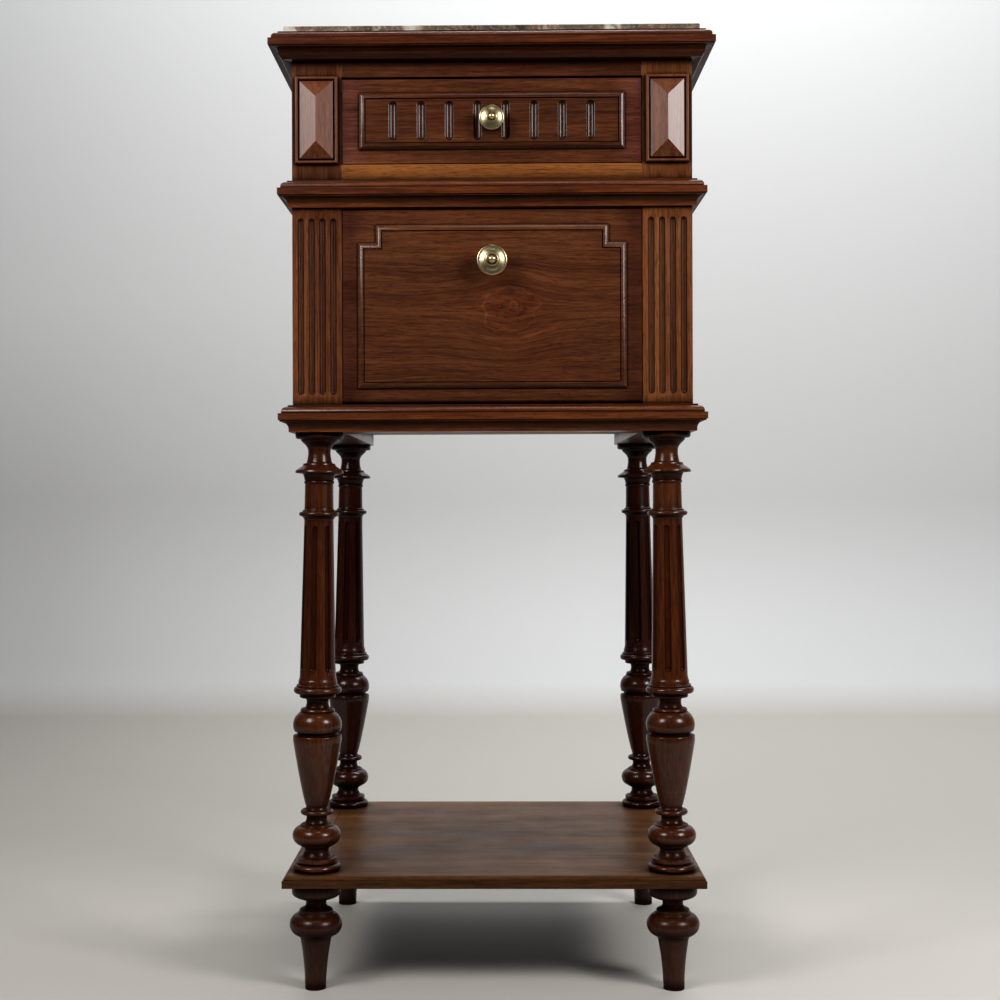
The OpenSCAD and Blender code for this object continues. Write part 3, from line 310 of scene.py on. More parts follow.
def wood_grain(sheet, node, grain, wave, knot=None):
    """Band, streak, fibre and pore values of wood whose fibres run along one axis, and their vector."""
    mapping = sheet.add(
        "ShaderNodeMapping", Vector=sheet.coordinates, Location=shift_for(node), Rotation=GRAIN_TURN[grain]
    )
    along = mapping.outputs["Vector"]
    if knot:
        along = round_knot(sheet, along, *knot)
    slow = sheet.vector_math("MULTIPLY", along, (3.2, 9.0, 9.0))
    drift = sheet.noise(vector=slow, detail=2.0, output="Color")
    centred = sheet.vector_math("SUBTRACT", drift, (0.5, 0.5, 0.5))
    warped = sheet.vector_math("ADD", along, sheet.vector_math("MULTIPLY", centred, (0.0, wave, wave)))
    layers = []
    for length, across, detail, roughness in GRAIN_LAYERS:
        stretched = sheet.vector_math("MULTIPLY", warped, (length, across, across))
        layers.append(sheet.noise(vector=stretched, detail=detail, roughness=roughness))
    return (*layers, along)


def polished_wood(node, grain, tint=(1, 1, 1), lift=0.0, knot=None, wave=0.010, ends=None,
                  coat=0.8, gloss=0.22, age=0.92, shade_from=-0.03):
    """French-polished walnut with dark pores and a clear coat, darkened in its hollows and on its undersides
    partly by wax and partly by painted shade.

    lift brightens the grain, wave bends it, coat and gloss are the clear coat's weight and roughness,
    darkening is the strength of the wax and painted shade, and a surface that faces up less than shade_from
    gets painted shade and grows dull.
    """
    wood = bpy.context.scene.cupboard_wood
    sheet = Sheet(f"walnut_{node}")
    bands, streaks, fibres, pores, along = wood_grain(sheet, node, grain, wave, knot)
    tone = sheet.maths("ADD", sheet.maths("MULTIPLY", bands, 0.38), sheet.maths("MULTIPLY", streaks, 0.32))
    tone = sheet.maths("ADD", tone, sheet.maths("MULTIPLY", fibres, 0.30))
    dark, brown, light = (tinted(shade, tint) for shade in (wood.dark, wood.brown, wood.light))
    colour = sheet.ramp(sheet.maths("ADD", tone, lift), [(0.37, dark), (0.50, brown), (0.64, light)])
    pore_mask = sheet.spread(pores, 0.36, 0.45, 1.0, 0.0)
    colour = sheet.mix(sheet.maths("MULTIPLY", pore_mask, 0.5), colour, dark)
    # Slow blotches of hue, as polish has over the years
    blotch = sheet.noise(scale=7.0, detail=2.0, vector=along)
    colour = sheet.stain(colour, (1.2, 1.0, 0.9), sheet.spread(blotch, 0.42, 0.66, 0.0, 0.4))
    # Broad darker clouds along the grain
    cloud = sheet.noise(vector=sheet.vector_math("MULTIPLY", along, (4.0, 13.0, 13.0)), detail=2.0)
    colour = sheet.stain(colour, (0.62, 0.60, 0.62), sheet.spread(cloud, 0.42, 0.62, 0.0, 0.6))
    if knot:
        colour = knot_figure(sheet, colour, knot[0])
    if ends:
        colour = reflection_tinted_ends(sheet, colour, *ends)
    # Darkening in flutes, grooves and joints and within about 12 mm of inner corners, as under the mouldings:
    # partly wax, partly painted shade
    wax_and_shade = sheet.crevice(0.012, 0.70, 0.97)
    # Faces that look up less than shade_from are darkened too: painted shade
    under = sheet.spread(sheet.part(sheet.facing, "Z"), -0.55, shade_from, 0.85, 0.0)
    wax_and_shade_mask = sheet.maths("MAXIMUM", wax_and_shade, under)
    colour = sheet.mix(sheet.maths("MULTIPLY", wax_and_shade_mask, age), colour, tuple(wood.wax_and_shade))
    shine = sheet.maths("MULTIPLY", sheet.maths("SUBTRACT", 1.0, wax_and_shade_mask), coat)
    smear = sheet.noise(scale=26.0, detail=3.0)
    roughness = sheet.spread(smear, 0.3, 0.7, wood.polish - 0.06, wood.polish + 0.10)
    sunk = sheet.maths("MULTIPLY", pore_mask, 0.8)
    height = sheet.maths("SUBTRACT", sheet.maths("MULTIPLY", fibres, 0.5), sunk)
    return sheet.finish(
        colour, roughness, Normal=sheet.bump(height, 0.25, 0.0002), IOR=1.2, Specular_IOR_Level=0.10,
        Coat_Weight=shine, Coat_Roughness=gloss, Coat_IOR=1.5,
    )


def reflection_tinted_ends(sheet, colour, half, reach, stain):
    """Tints a board towards its left and right ends: a painted reflection."""
    side = sheet.maths("ABSOLUTE", sheet.part(sheet.coordinates, "X"))
    # The stain argument here is the tint of the painted reflection
    return sheet.stain(colour, stain, sheet.spread(side, half - reach, half))


def raw_wood(node, grain, tint):
    """Unpolished pale softwood of the inner boards."""
    wood = bpy.context.scene.cupboard_wood
    sheet = Sheet(f"raw_{node}")
    bands, streaks, fibres, _, along = wood_grain(sheet, node, grain, 0.014)
    tone = sheet.maths("ADD", sheet.maths("MULTIPLY", bands, 0.6), sheet.maths("MULTIPLY", streaks, 0.4))
    dark, middle, pale = (tinted(shade, tint) for shade in (wood.raw_dark, wood.raw, wood.raw_light))
    colour = sheet.ramp(tone, [(0.32, dark), (0.5, middle), (0.66, pale)])
    age = sheet.noise(scale=9.0, detail=4.0, vector=along)
    colour = sheet.stain(colour, (0.62, 0.56, 0.48), sheet.spread(age, 0.45, 0.75, 0.0, 0.4))
    normal = sheet.bump(sheet.maths("MULTIPLY", fibres, 0.6), 0.35, 0.0003)
    return sheet.finish(colour, 0.78, Normal=normal, IOR=1.3, Specular_IOR_Level=0.2)


def old_brass(name):
    """Lacquered brass, polished on its rounds and tarnished in its hollows."""
    metal = bpy.context.scene.cupboard_metal
    sheet = Sheet(name)
    dirt = sheet.crevice(0.004, 0.35, 0.8, only_local=True)
    smear = sheet.noise(scale=170.0, detail=3.0)
    stain = sheet.spread(smear, 0.45, 0.75, 0.0, 0.3)
    mask = sheet.maths("ADD", sheet.maths("MULTIPLY", dirt, 0.85), stain)
    colour = sheet.mix(mask, tuple(metal.brass), tuple(metal.tarnish))
    scratches = sheet.noise(scale=900.0, detail=2.0)
    roughness = sheet.spread(smear, 0.3, 0.7, 0.27, 0.36)
    return sheet.finish(colour, roughness, Normal=sheet.bump(scratches, 0.05, 0.0001), Metallic=1.0)


def plain_steel(name):
    """Grey steel of pins and screws."""
    metal = bpy.context.scene.cupboard_metal
    sheet = Sheet(name)
    smear = sheet.noise(scale=240.0, detail=3.0)
    dull = tinted(metal.steel, (0.6, 0.55, 0.5))
    colour = sheet.mix(sheet.spread(smear, 0.4, 0.7), tuple(metal.steel), dull)
    return sheet.finish(colour, sheet.spread(smear, 0.3, 0.7, 0.25, 0.45), Metallic=1.0)


def mottled_marble(name):
    """Grey marble with pale patches, brown clouds and dark veins."""
    stone = bpy.context.scene.cupboard_marble
    sheet = Sheet(name)
    clouds = sheet.noise(scale=24.0, detail=6.0, roughness=0.62, distortion=0.8)
    brown = tinted(stone.ground, (1.3, 1.0, 0.75))
    colour = sheet.ramp(clouds, [(0.34, stone.vein), (0.45, stone.ground), (0.56, brown), (0.66, stone.pale)])
    ridge = sheet.noise(scale=9.0, detail=5.0, roughness=0.55, distortion=1.6)
    vein = sheet.maths("ABSOLUTE", sheet.maths("SUBTRACT", ridge, 0.5))
    colour = sheet.mix(sheet.spread(vein, 0.0, 0.022, 0.75, 0.0), colour, stone.vein)
    grains = sheet.noise(scale=420.0, detail=2.0)
    colour = sheet.mix(sheet.spread(grains, 0.5, 0.75, 0.0, 0.35), colour, stone.pale)
    return sheet.finish(colour, 0.24, Specular_IOR_Level=0.5, Coat_Weight=0.2, Coat_Roughness=0.1)


# ---------- pieces ----------

# Angle at which the edges of boards count as sharp
BOARD_ANGLE = 32.0


def link_piece(name, mesh):
    piece = bpy.data.objects.new(name, mesh)
    bpy.context.scene.collection.objects.link(piece)
    return piece


def shade(mesh, angle):
    for polygon in mesh.polygons:
        polygon.use_smooth = True
    mesh.set_sharp_from_angle(angle=math.radians(angle))


def dressed(piece, material, node):
    """Gives a finished piece its material and its place in the frame."""
    piece.data.materials.clear()
    piece.data.materials.append(material)
    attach(piece, NODES[node]["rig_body"])
    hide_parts(node)
    return piece


def shaped_piece(name, shape, angle):
    """Makes a piece of a finished shape, smooth but for edges sharper than the angle."""
    mesh = bpy.data.meshes.new(name)
    shape.to_mesh(mesh)
    shape.free()
    shade(mesh, angle)
    return link_piece(name, mesh)


def softened(node, material, arris=None, segments=2):
    """A node's own shape with its loose triangles joined and its sharp edges worn soft."""
    width = bpy.context.scene.cupboard_wood.arris if arris is None else arris
    mesh = NODES[node].data.copy()
    mesh.name = f"worn_{node}"
    shape = bmesh.new()
    shape.from_mesh(mesh)
    bmesh.ops.remove_doubles(shape, verts=shape.verts, dist=2e-6)
    bmesh.ops.dissolve_limit(
        shape, angle_limit=math.radians(0.6), verts=shape.verts, edges=shape.edges,
        use_dissolve_boundaries=False,
    )
    many_sided = [face for face in shape.faces if len(face.verts) > 4]
    bmesh.ops.triangulate(shape, faces=many_sided, quad_method="BEAUTY", ngon_method="BEAUTY")
    shape.to_mesh(mesh)
    shape.free()
    shade(mesh, BOARD_ANGLE)
    piece = link_piece(f"worn_{node}", mesh)
    if width > 0:
        worn = piece.modifiers.new("worn arris", "BEVEL")
        worn.width = width
        worn.segments = segments
        worn.limit_method = "ANGLE"
        worn.angle_limit = math.radians(BOARD_ANGLE)
        worn.use_clamp_overlap = True
        worn.harden_normals = True
        worn.miter_outer = "MITER_ARC"
    return dressed(piece, material, node)


def walnut_piece(node, grain, tint=(1, 1, 1), arris=None, **finish):
    return softened(node, polished_wood(node, grain, tint, **finish), arris)


# ---------- turnings ----------

LEG_H = 0.3968
FOOT_H = 0.0965
LEG_INSET = 0.0216
LEG_LEAN = math.radians(0.6)
SHAFT_LOW, SHAFT_HIGH = 0.177, LEG_H - 0.0806
SHAFT_R_LOW, SHAFT_R_TOP = 0.0163, 0.0133
FLUTE_W_LOW, FLUTE_W_TOP = 0.0063, 0.0052
# Plain length of the shaft beyond a flute's ends, and how far the middle of its cut stands proud of the
# shaft, as a share of its width
FLUTE_PLAIN, FLUTE_PROUD = 0.0035, 0.07
# Heights of the middles of the flutes' round ends
FLUTE_LOW = SHAFT_LOW + FLUTE_PLAIN + FLUTE_W_LOW / 2
FLUTE_HIGH = SHAFT_HIGH - FLUTE_PLAIN - FLUTE_W_TOP / 2
FLUTES = 7
FLUTE_TURN = math.radians(-100)
# Columns of faces inside a flute, on a worn arris beside it and on the plain band between two flutes
FLUTE_COLUMNS, ARRIS_COLUMNS, BAND_COLUMNS = 10, 1, 10
PERIOD_COLUMNS = FLUTE_COLUMNS + 2 * ARRIS_COLUMNS + BAND_COLUMNS
FLUTE_WEAR = 0.00022
# Radius and depth of the holes, radius and length of the tenons, and the wear of corners, in millimetres
LEG_HOLE, LEG_TENON, FOOT_TENON = (6.6, 20), (9, 16), (6.5, 18)
SCREW_HOLE = (2.05, 9.2)
TURNING_WEAR, KNOB_WEAR = 0.28, 0.12
# Angles at which the edges of turned and of carved pieces count as sharp
TURNED_ANGLE, FIELD_ANGLE, DIAMOND_ANGLE = 42.0, 33.0, 26.0


def arc(x, y, radius, start, end, steps):
    """Points of an arc round (x, y), angles in degrees."""
    turns = [math.radians(start + (end - start) * i / steps) for i in range(steps + 1)]
    return [(x + radius * math.cos(t), y + radius * math.sin(t)) for t in turns]


def sweep(r0, z0, r1, z1, power, steps):
    """Points of a smooth sweep from one radius and height to another."""
    return [(r0 + (r1 - r0) * (i / steps) ** power, z0 + (z1 - z0) * i / steps) for i in range(steps + 1)]


def eased(points, reach, limit=18.0, steps=3):
    """The outline with each corner sharper than the limit, in degrees, worn round."""
    worn = [points[0]]
    for before, corner, after in zip(points, points[1:], points[2:]):
        corner_v = Vector(corner)
        to_before, to_after = Vector(before) - corner_v, Vector(after) - corner_v
        if to_before.length < 1e-6 or to_after.length < 1e-6:
            continue
        if math.degrees(to_after.angle(-to_before)) < limit:
            worn.append(corner)
            continue
        start = corner_v + to_before * min(0.42, reach / to_before.length)
        end = corner_v + to_after * min(0.42, reach / to_after.length)
        for i in range(steps + 1):
            t = i / steps
            point = start * (1 - t) ** 2 + corner_v * 2 * t * (1 - t) + end * t ** 2
            worn.append((point.x, point.y))
    worn.append(points[-1])
    return worn


def shaft_radius(z):
    return SHAFT_R_LOW + (SHAFT_R_TOP - SHAFT_R_LOW) * (z - SHAFT_LOW) / (SHAFT_HIGH - SHAFT_LOW)


def leg_outline():
    """Radius and height of a leg above the shelf, in millimetres, from its dowel hole to its tenon."""
    h = LEG_H * 1000
    hole_r, hole_depth = LEG_HOLE
    tenon_r, tenon_length = LEG_TENON
    low = [(0, hole_depth), (hole_r, hole_depth), (hole_r, 0), (18.6, 0)] + arc(18.6, 3.2, 3.2, -86, 90, 18)
    low += [(16.8, 6.6), (16.8, 7.6), (18, 8), (18, 11.6)]
    low += sweep(16.4, 12, 11.1, 17, 0.4, 12) + sweep(11.1, 18.8, 14.6, 22.2, 2.5, 8)
    low += [(15.2, 22.4), (15.2, 24.2)] + arc(13, 31.6, 8.9, -64, 66, 28)
    low += [(14.9, 40.3), (14.9, 41.3), (13, 42.4)] + sweep(11.6, 42.7, 9.4, 46.4, 0.5, 10)
    low += [(9.4, 49.9)] + arc(12.4, 52.8, 2.3, -88, 88, 14) + [(10.4, 55.6)]
    vase = sweep(9.7, 57.6, 22, 117.5, 0.82, 30) + arc(20.8, 121.4, 1.2, 4, 88, 6)
    vase += [(18.4, 123.2), (18.2, 125.6)]
    ball = arc(8.3, 131.8, 13.8, -24, 62, 28) + [(15.6, 144.4), (15.6, 145.2), (14.6, 146.8)]
    ball += sweep(11.8, 147.4, 10, 151, 0.4, 10) + sweep(10, 153, 11, 155.8, 2, 6)
    ball += [(15.8, 156.6), (16.3, 157.2), (16.3, 159.7), (15.8, 160.3)]
    ring = arc(18.5, 163.4, 3.2, -88, 88, 16) + [(19.2, 166.8), (19.2, 168.2), (17.6, 168.8), (17.5, 171.8)]
    ring += sweep(17.3, 172.4, SHAFT_R_LOW * 1000, 177, 0.5, 10)[:-1]
    shaft = [(1000 * shaft_radius(z), 1000 * z) for z in [SHAFT_LOW] + flute_heights()]
    collar = [(SHAFT_R_TOP * 1000, h - 80.6)] + sweep(SHAFT_R_TOP * 1000, h - 79.4, 15.3, h - 76, 2, 6)
    collar += arc(16, h - 73.6, 2.1, -86, 86, 14)
    collar += [(14.9, h - 71.2), (14.9, h - 70.2), (13.4, h - 69.4), (13.2, h - 67.6), (12.9, h - 49)]
    collar += arc(11.7, h - 44.8, 2, -60, 60, 10)
    collar += [(13.5, h - 42.4), (13.5, h - 41.2), (14, h - 39.4), (14.9, h - 37.2)]
    neck = [(21.6, h - 36.5), (21.8, h - 35.4), (21.2, h - 33.9), (18.5, h - 32.1), (15.8, h - 30.5)]
    neck += [(14.7, h - 29.2), (14.5, h - 27.9)] + sweep(11.9, h - 27.3, 10.2, h - 19.5, 0.6, 12)
    neck += sweep(10.2, h - 17, 14.6, h - 9.2, 2.2, 14) + [(15.2, h - 8.6), (16.5, h - 7.3), (16.8, h - 5.9)]
    neck += arc(18.9, h - 3, 2.9, -56, 0, 8) + [(21.8, h), (tenon_r, h)]
    neck += [(tenon_r, h + tenon_length), (0, h + tenon_length)]
    return eased(low + vase + ball + ring, TURNING_WEAR) + shaft + eased(collar + neck, TURNING_WEAR)


def foot_outline(shelf_t):
    """Radius and height of a foot above the floor, in millimetres, with its tenon through the shelf."""
    h = FOOT_H * 1000
    tenon_r, tenon_length = FOOT_TENON
    tenon_top = 1000 * (FOOT_H + shelf_t) + tenon_length
    bulb = [(9.6, 0)] + sweep(9.6, 0.4, 14, h - 50.8, 1.9, 14) + [(14.7, h - 50), (15, h - 48.8)]
    bulb += arc(13.7, h - 38, 10.2, -70, 60, 30)
    bulb += [(16.6, h - 28.4), (16.4, h - 27.3), (15.1, h - 26.6), (15.1, h - 24.6), (13.8, h - 23.8)]
    bulb += sweep(12.2, h - 23, 9.3, h - 20.2, 0.5, 10) + [(9.3, h - 16.9), (9.9, h - 15.1), (15.8, h - 14.1)]
    bulb += sweep(17.2, h - 13.4, 21.3, h - 11.2, 0.7, 6) + arc(18.8, h - 8.6, 3.4, -35, 0, 5)
    bulb += [(22.2, h), (tenon_r, h)]
    return [(0, 0)] + eased(bulb, TURNING_WEAR) + [(tenon_r, tenon_top), (0, tenon_top)]


def flute_at(z):
    """Radius of the flutes' round cut at a height and the distance of its middle from the leg's axis."""
    slope = (SHAFT_R_LOW - SHAFT_R_TOP) / (SHAFT_HIGH - SHAFT_LOW)
    along = min(max((z - FLUTE_LOW) / (FLUTE_HIGH - FLUTE_LOW), 0.0), 1.0)
    cut = (FLUTE_W_LOW + (FLUTE_W_TOP - FLUTE_W_LOW) * along) / 2
    beyond = max(FLUTE_LOW - z, z - FLUTE_HIGH, 0.0)
    middle = SHAFT_R_LOW + FLUTE_W_LOW * FLUTE_PROUD - (z - FLUTE_LOW) * slope
    return math.sqrt(max(0.0, cut * cut - beyond * beyond)), middle


def flute_heights():
    """Heights of the rings of points along the shaft, close together at the flutes' round ends."""
    ends = [math.sin(math.radians(t)) for t in range(0, 71, 7)]
    heights = [FLUTE_LOW - s * FLUTE_W_LOW / 2 for s in reversed(ends)]
    heights += [FLUTE_LOW + (FLUTE_HIGH - FLUTE_LOW) * i / 10 for i in range(1, 10)]
    return heights + [FLUTE_HIGH + s * FLUTE_W_TOP / 2 for s in ends]


def spun(outline, columns):
    """Turns an outline, given in millimetres, once round the Z axis into a closed solid."""
    shape = bmesh.new()
    points = [shape.verts.new((r / 1000, 0.0, z / 1000)) for r, z in outline]
    edges = [shape.edges.new(pair) for pair in zip(points, points[1:])]
    bmesh.ops.spin(
        shape, geom=points + edges, cent=(0, 0, 0), axis=(0, 0, 1), dvec=(0, 0, 0),
        angle=math.tau, steps=columns, use_merge=True, use_duplicate=False,
    )
    bmesh.ops.remove_doubles(shape, verts=shape.verts, dist=1e-6)
    bmesh.ops.recalc_face_normals(shape, faces=shape.faces)
    return shape


def carve_flutes(shape):
    """Moves the points of a spun leg's shaft into seven flutes and gathers its columns at their edges."""
    columns = FLUTES * PERIOD_COLUMNS
    period = math.tau / FLUTES
    for point in shape.verts:
        radius = math.hypot(point.co.x, point.co.y)
        z = point.co.z
        if not SHAFT_LOW - 0.0002 < z < SHAFT_HIGH + 0.0002:
            continue
        column = round(math.atan2(point.co.y, point.co.x) / math.tau * columns) % columns
        number, place = divmod(column, PERIOD_COLUMNS)
        place -= PERIOD_COLUMNS // 2
        cut, middle = flute_at(z)
        edge = 0.0
        if middle - cut < radius:
            edge = math.acos(min(1.0, (radius ** 2 + middle ** 2 - cut ** 2) / (2 * radius * middle)))
        span = max(edge, 0.03)
        half, wear = FLUTE_COLUMNS // 2, FLUTE_WEAR / radius
        side = math.copysign(1.0, place)
        steps = abs(place)
        if steps <= half:
            angle = max(span - wear, 0.0) * steps / half
            if edge > 0:
                reach = middle * math.sin(angle)
                radius = min(radius, middle * math.cos(angle) - math.sqrt(max(0.0, cut ** 2 - reach ** 2)))
        else:
            start = span + wear
            angle = start + (period / 2 - start) * (steps - half - 1) / (PERIOD_COLUMNS // 2 - half - 1)
        turn = (number + 0.5) * period + side * angle
        point.co.x, point.co.y = radius * math.cos(turn), radius * math.sin(turn)
    shape.transform(Matrix.Rotation(FLUTE_TURN - period / 2, 4, "Z"))


def stand_turning(shape, side, depth, base, levels):
    """Leans a turning outward onto its leg axis and levels its ends."""
    case_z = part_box("base_frame_front")[0].z
    level_points = {level: [v for v in shape.verts if abs(v.co.z + base - level) < 1e-6] for level in levels}
    x = side * (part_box("front_post_right")[1].x - LEG_INSET)
    y = FACE_Y + LEG_INSET if depth < 0 else BACK_Y - LEG_INSET
    place = Vector((x, y, case_z))
    lean = Matrix.Rotation(-side * LEG_LEAN, 4, "Y")
    shape.transform(Matrix.Translation(place) @ lean @ Matrix.Translation((0, 0, base - case_z)))
    for level, points in level_points.items():
        for point in points:
            point.co.z = level


def turned_leg(node, side, depth, material):
    shape = spun(leg_outline(), FLUTES * PERIOD_COLUMNS)
    carve_flutes(shape)
    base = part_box("shelf")[1].z
    stand_turning(shape, side, depth, base, (base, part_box("base_frame_front")[0].z))
    return dressed(shaped_piece(f"turned_{node}", shape, TURNED_ANGLE), material, node)


def turned_foot(node, side, depth, material):
    low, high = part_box("shelf")
    shape = spun(foot_outline(high.z - low.z), 112)
    stand_turning(shape, side, depth, 0.0, (0.0, low.z))
    return dressed(shaped_piece(f"turned_{node}", shape, TURNED_ANGLE), material, node)


def knob_outline(r, reach):
    """Radius and height of a knob above its seat, in millimetres, from its screw hole to its button."""
    hole_r, hole_depth = SCREW_HOLE
    head, rim = reach * 0.62, r * 0.09
    hole = [(0, hole_depth), (hole_r, hole_depth), (hole_r, 0)]
    foot = [(r * 0.58, 0)] + arc(r * 0.5, r * 0.08, r * 0.08, 0, 90, 8)
    stem = sweep(r * 0.42, r * 0.17, r * 0.3, reach * 0.3, 0.5, 10)
    stem += sweep(r * 0.3, reach * 0.34, r * 0.86, head - rim, 3, 16)
    dish = arc(r - rim, head, rim, -60, 110, 16)
    for i in range(1, 7):
        dome = reach * 0.104 * math.sin(i * math.pi / 14)
        dish.append((r * (0.84 - 0.07 * i), head + rim * 0.75 + dome))
    ring = arc(r * 0.37, head + reach * 0.155, r * 0.055, -10, 190, 14) + [(r * 0.30, head + reach * 0.13)]
    button = arc(0, reach - r * 0.28, r * 0.28, 0, 90, 16)
    return hole + foot + stem + eased(dish + ring + button[:1], KNOB_WEAR) + button[1:]


def turned_knob(node, seat, material):
    """A turned brass knob with a dished head, a fine ring and a round button."""
    low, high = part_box(node)
    r, reach = 500 * (high.x - low.x), 1000 * (high.y - low.y)
    shape = spun(knob_outline(r, reach), 96)
    place = Matrix.Translation(((low.x + high.x) / 2, FACE_Y - seat, (low.z + high.z) / 2))
    shape.transform(place @ Matrix.Rotation(math.radians(90), 4, "X"))
    return dressed(shaped_piece(f"turned_{node}", shape, TURNED_ANGLE), material, node)


# ---------- raised fields ----------

FIELD_H = 0.003
EDGE_W, EDGE_H = 0.006, 0.0036
GROOVE_W, GROOVE_D = 0.0008, 0.001
BORE_R = 0.00205
RIM_WEAR = 0.0003
# Side of the square notches in the upper corners of the door's field
DOOR_NOTCH = 0.016
DRAWER_FLUTE_W, DRAWER_FLUTE_D, DRAWER_FLUTE_L = 0.007, 0.0024, 0.035
DRAWER_FLUTE_PITCH, DRAWER_FLUTES = 0.0252, 8


def edge_section():
    """Inset and height of the moulded edge round a raised field, from its foot to the flat field."""
    crown, steepest, flattest = EDGE_W - GROOVE_W, 36, 14
    radius = crown / (math.sin(math.radians(steepest)) - math.sin(math.radians(flattest)))
    middle_x = crown + radius * math.sin(math.radians(flattest))
    middle_y = EDGE_H - radius * math.cos(math.radians(flattest))
    rise = arc(middle_x, middle_y, radius, 90 + steepest, 90 + flattest, 12)
    groove = [(crown, FIELD_H - GROOVE_D), (EDGE_W, FIELD_H - GROOVE_D)]
    return eased([(0.0, 0.0)] + rise + groove + [(EDGE_W, FIELD_H), (EDGE_W + 0.002, FIELD_H)], FLUTE_WEAR)


def box_corners(low, high):
    """Corners of a box's front, anticlockwise as seen from the front."""
    return [(low.x, low.z), (high.x, low.z), (high.x, high.z), (low.x, high.z)]


def inset_corners(corners, width):
    """Corners of a rectilinear outline, anticlockwise, moved inward along their mitres."""
    moved = []
    for i, corner in enumerate(corners):
        before, after = Vector(corners[i - 1]), Vector(corners[(i + 1) % len(corners)])
        here = Vector(corner)
        normals = [Vector((-(d.y), d.x)).normalized() for d in (here - before, after - here)]
        moved.append(here + width * (normals[0] + normals[1]))
    return moved


def ring_of(shape, points, height, y):
    """A closed ring of points at a height in front of the board's plane."""
    return [shape.verts.new((x, y - height, z)) for x, z in points]


def bridge(shape, rings):
    """Joins each ring of points to the next with faces."""
    for first, second in zip(rings, rings[1:]):
        for i in range(len(first)):
            j = (i + 1) % len(first)
            shape.faces.new((first[i], first[j], second[j], second[i]))


def ring_edges(shape, ring):
    edges = []
    for pair in zip(ring, ring[1:] + ring[:1]):
        edges.append(shape.edges.get(pair) or shape.edges.new(pair))
    return edges


def capsule(x, z, reach, radius):
    """Outline of an upright slot with round ends."""
    return arc(x, z + reach, radius, 0, 180, 12) + arc(x, z - reach, radius, 180, 360, 12)


def carve_slot(shape, x, z):
    """Adds one round-bottomed flute to a field; gives the ring where it meets the flat."""
    half_w, depth = DRAWER_FLUTE_W / 2, DRAWER_FLUTE_D
    round_r = (half_w ** 2 + depth ** 2) / (2 * depth)
    reach = DRAWER_FLUTE_L / 2 - half_w
    rings = [ring_of(shape, capsule(x, z, reach, half_w + 0.0002), FIELD_H, FACE_Y)]
    for i in range(9):
        radius = half_w * math.cos(math.radians(i * 10.8))
        sunk = math.sqrt(round_r ** 2 - radius ** 2) - (round_r - depth)
        rings.append(ring_of(shape, capsule(x, z, reach, radius), FIELD_H - max(sunk, 0.0001), FACE_Y))
    bridge(shape, rings)
    shape.faces.new(rings[-1])
    return rings[0]


def raised_field(node, corners, bore, slots, material):
    """A raised field of a board: moulded edge, fine groove and a flat with its bore and flutes."""
    shape = bmesh.new()
    section = edge_section()
    rings = [ring_of(shape, inset_corners(corners, inset), height, FACE_Y) for inset, height in section]
    bridge(shape, rings)
    hole = arc(*bore, BORE_R, 0, 360, 24)[:-1]
    hole_back, hole_front = (ring_of(shape, hole, height, FACE_Y) for height in (0.0, FIELD_H))
    bridge(shape, [hole_back, hole_front])
    flat_edges = ring_edges(shape, rings[-1]) + ring_edges(shape, hole_front)
    for x, z in slots:
        flat_edges += ring_edges(shape, carve_slot(shape, x, z))
    bmesh.ops.triangle_fill(shape, edges=flat_edges, use_beauty=True, use_dissolve=False, normal=(0, -1, 0))
    bmesh.ops.triangle_fill(
        shape, edges=ring_edges(shape, rings[0]) + ring_edges(shape, hole_back),
        use_beauty=True, use_dissolve=False, normal=(0, 1, 0),
    )
    bmesh.ops.recalc_face_normals(shape, faces=shape.faces)
    piece = shaped_piece(f"raised_{node}", shape, FIELD_ANGLE)
    for polygon in piece.data.polygons:
        if abs(polygon.normal.y) > 0.99999:
            polygon.use_smooth = False
    return dressed(piece, material, node)


def diamond_block(node, material):
    """A block with a moulded rim round a long, low pyramid."""
    low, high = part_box(node)
    corners = box_corners(low, high)
    shape = bmesh.new()
    rim = [(0.0, 0.0), (0.0, 0.0034), (0.0008, 0.0044), (0.0022, 0.0044), (0.003, 0.0034)]
    groove = [(0.003, 0.0014), (0.0043, 0.0014), (0.0043, 0.0041), (0.0047, 0.00425)]
    section = eased(rim + groove, RIM_WEAR)
    rings = [ring_of(shape, inset_corners(corners, inset), height, high.y) for inset, height in section]
    bridge(shape, rings)
    shape.faces.new(rings[0])
    middle, half = (low.x + high.x) / 2, (high.x - low.x) / 2
    foot, head = (shape.verts.new((middle, low.y, z)) for z in (low.z + half, high.z - half))
    low_left, low_right, high_right, high_left = rings[-1]
    for face in ((low_left, low_right, foot), (low_right, high_right, head, foot),
                 (high_right, high_left, head), (high_left, low_left, foot, head)):
        shape.faces.new(face)
    bmesh.ops.recalc_face_normals(shape, faces=shape.faces)
    return dressed(shaped_piece(f"cut_{node}", shape, DIAMOND_ANGLE), material, node)


# ---------- groups of pieces ----------

# Where the painted reflection at the ends of drawer and door is full, and how softly it fades
REFLECTION_ENDS = (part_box("drawer_front")[1].x - 0.008, 0.018)


class CUPBOARD_OT_top(bpy.types.Operator):
    """Finish the marble slab and the cornice round it"""

    bl_idname = "cupboard.top"
    bl_label = "Marble and Cornice"

    def execute(self, context):
        softened("marble_top", mottled_marble("mottled_marble"), arris=0.0006, segments=3)
        for node, grain in (("cornice_front", "X"), ("cornice_left", "Y"), ("cornice_right", "Y")):
            walnut_piece(node, grain, (1.0, 0.85, 0.8), arris=0.0006, age=0.8)
        walnut_piece("cornice_back", "X", (0.8, 0.8, 0.8))
        return {"FINISHED"}


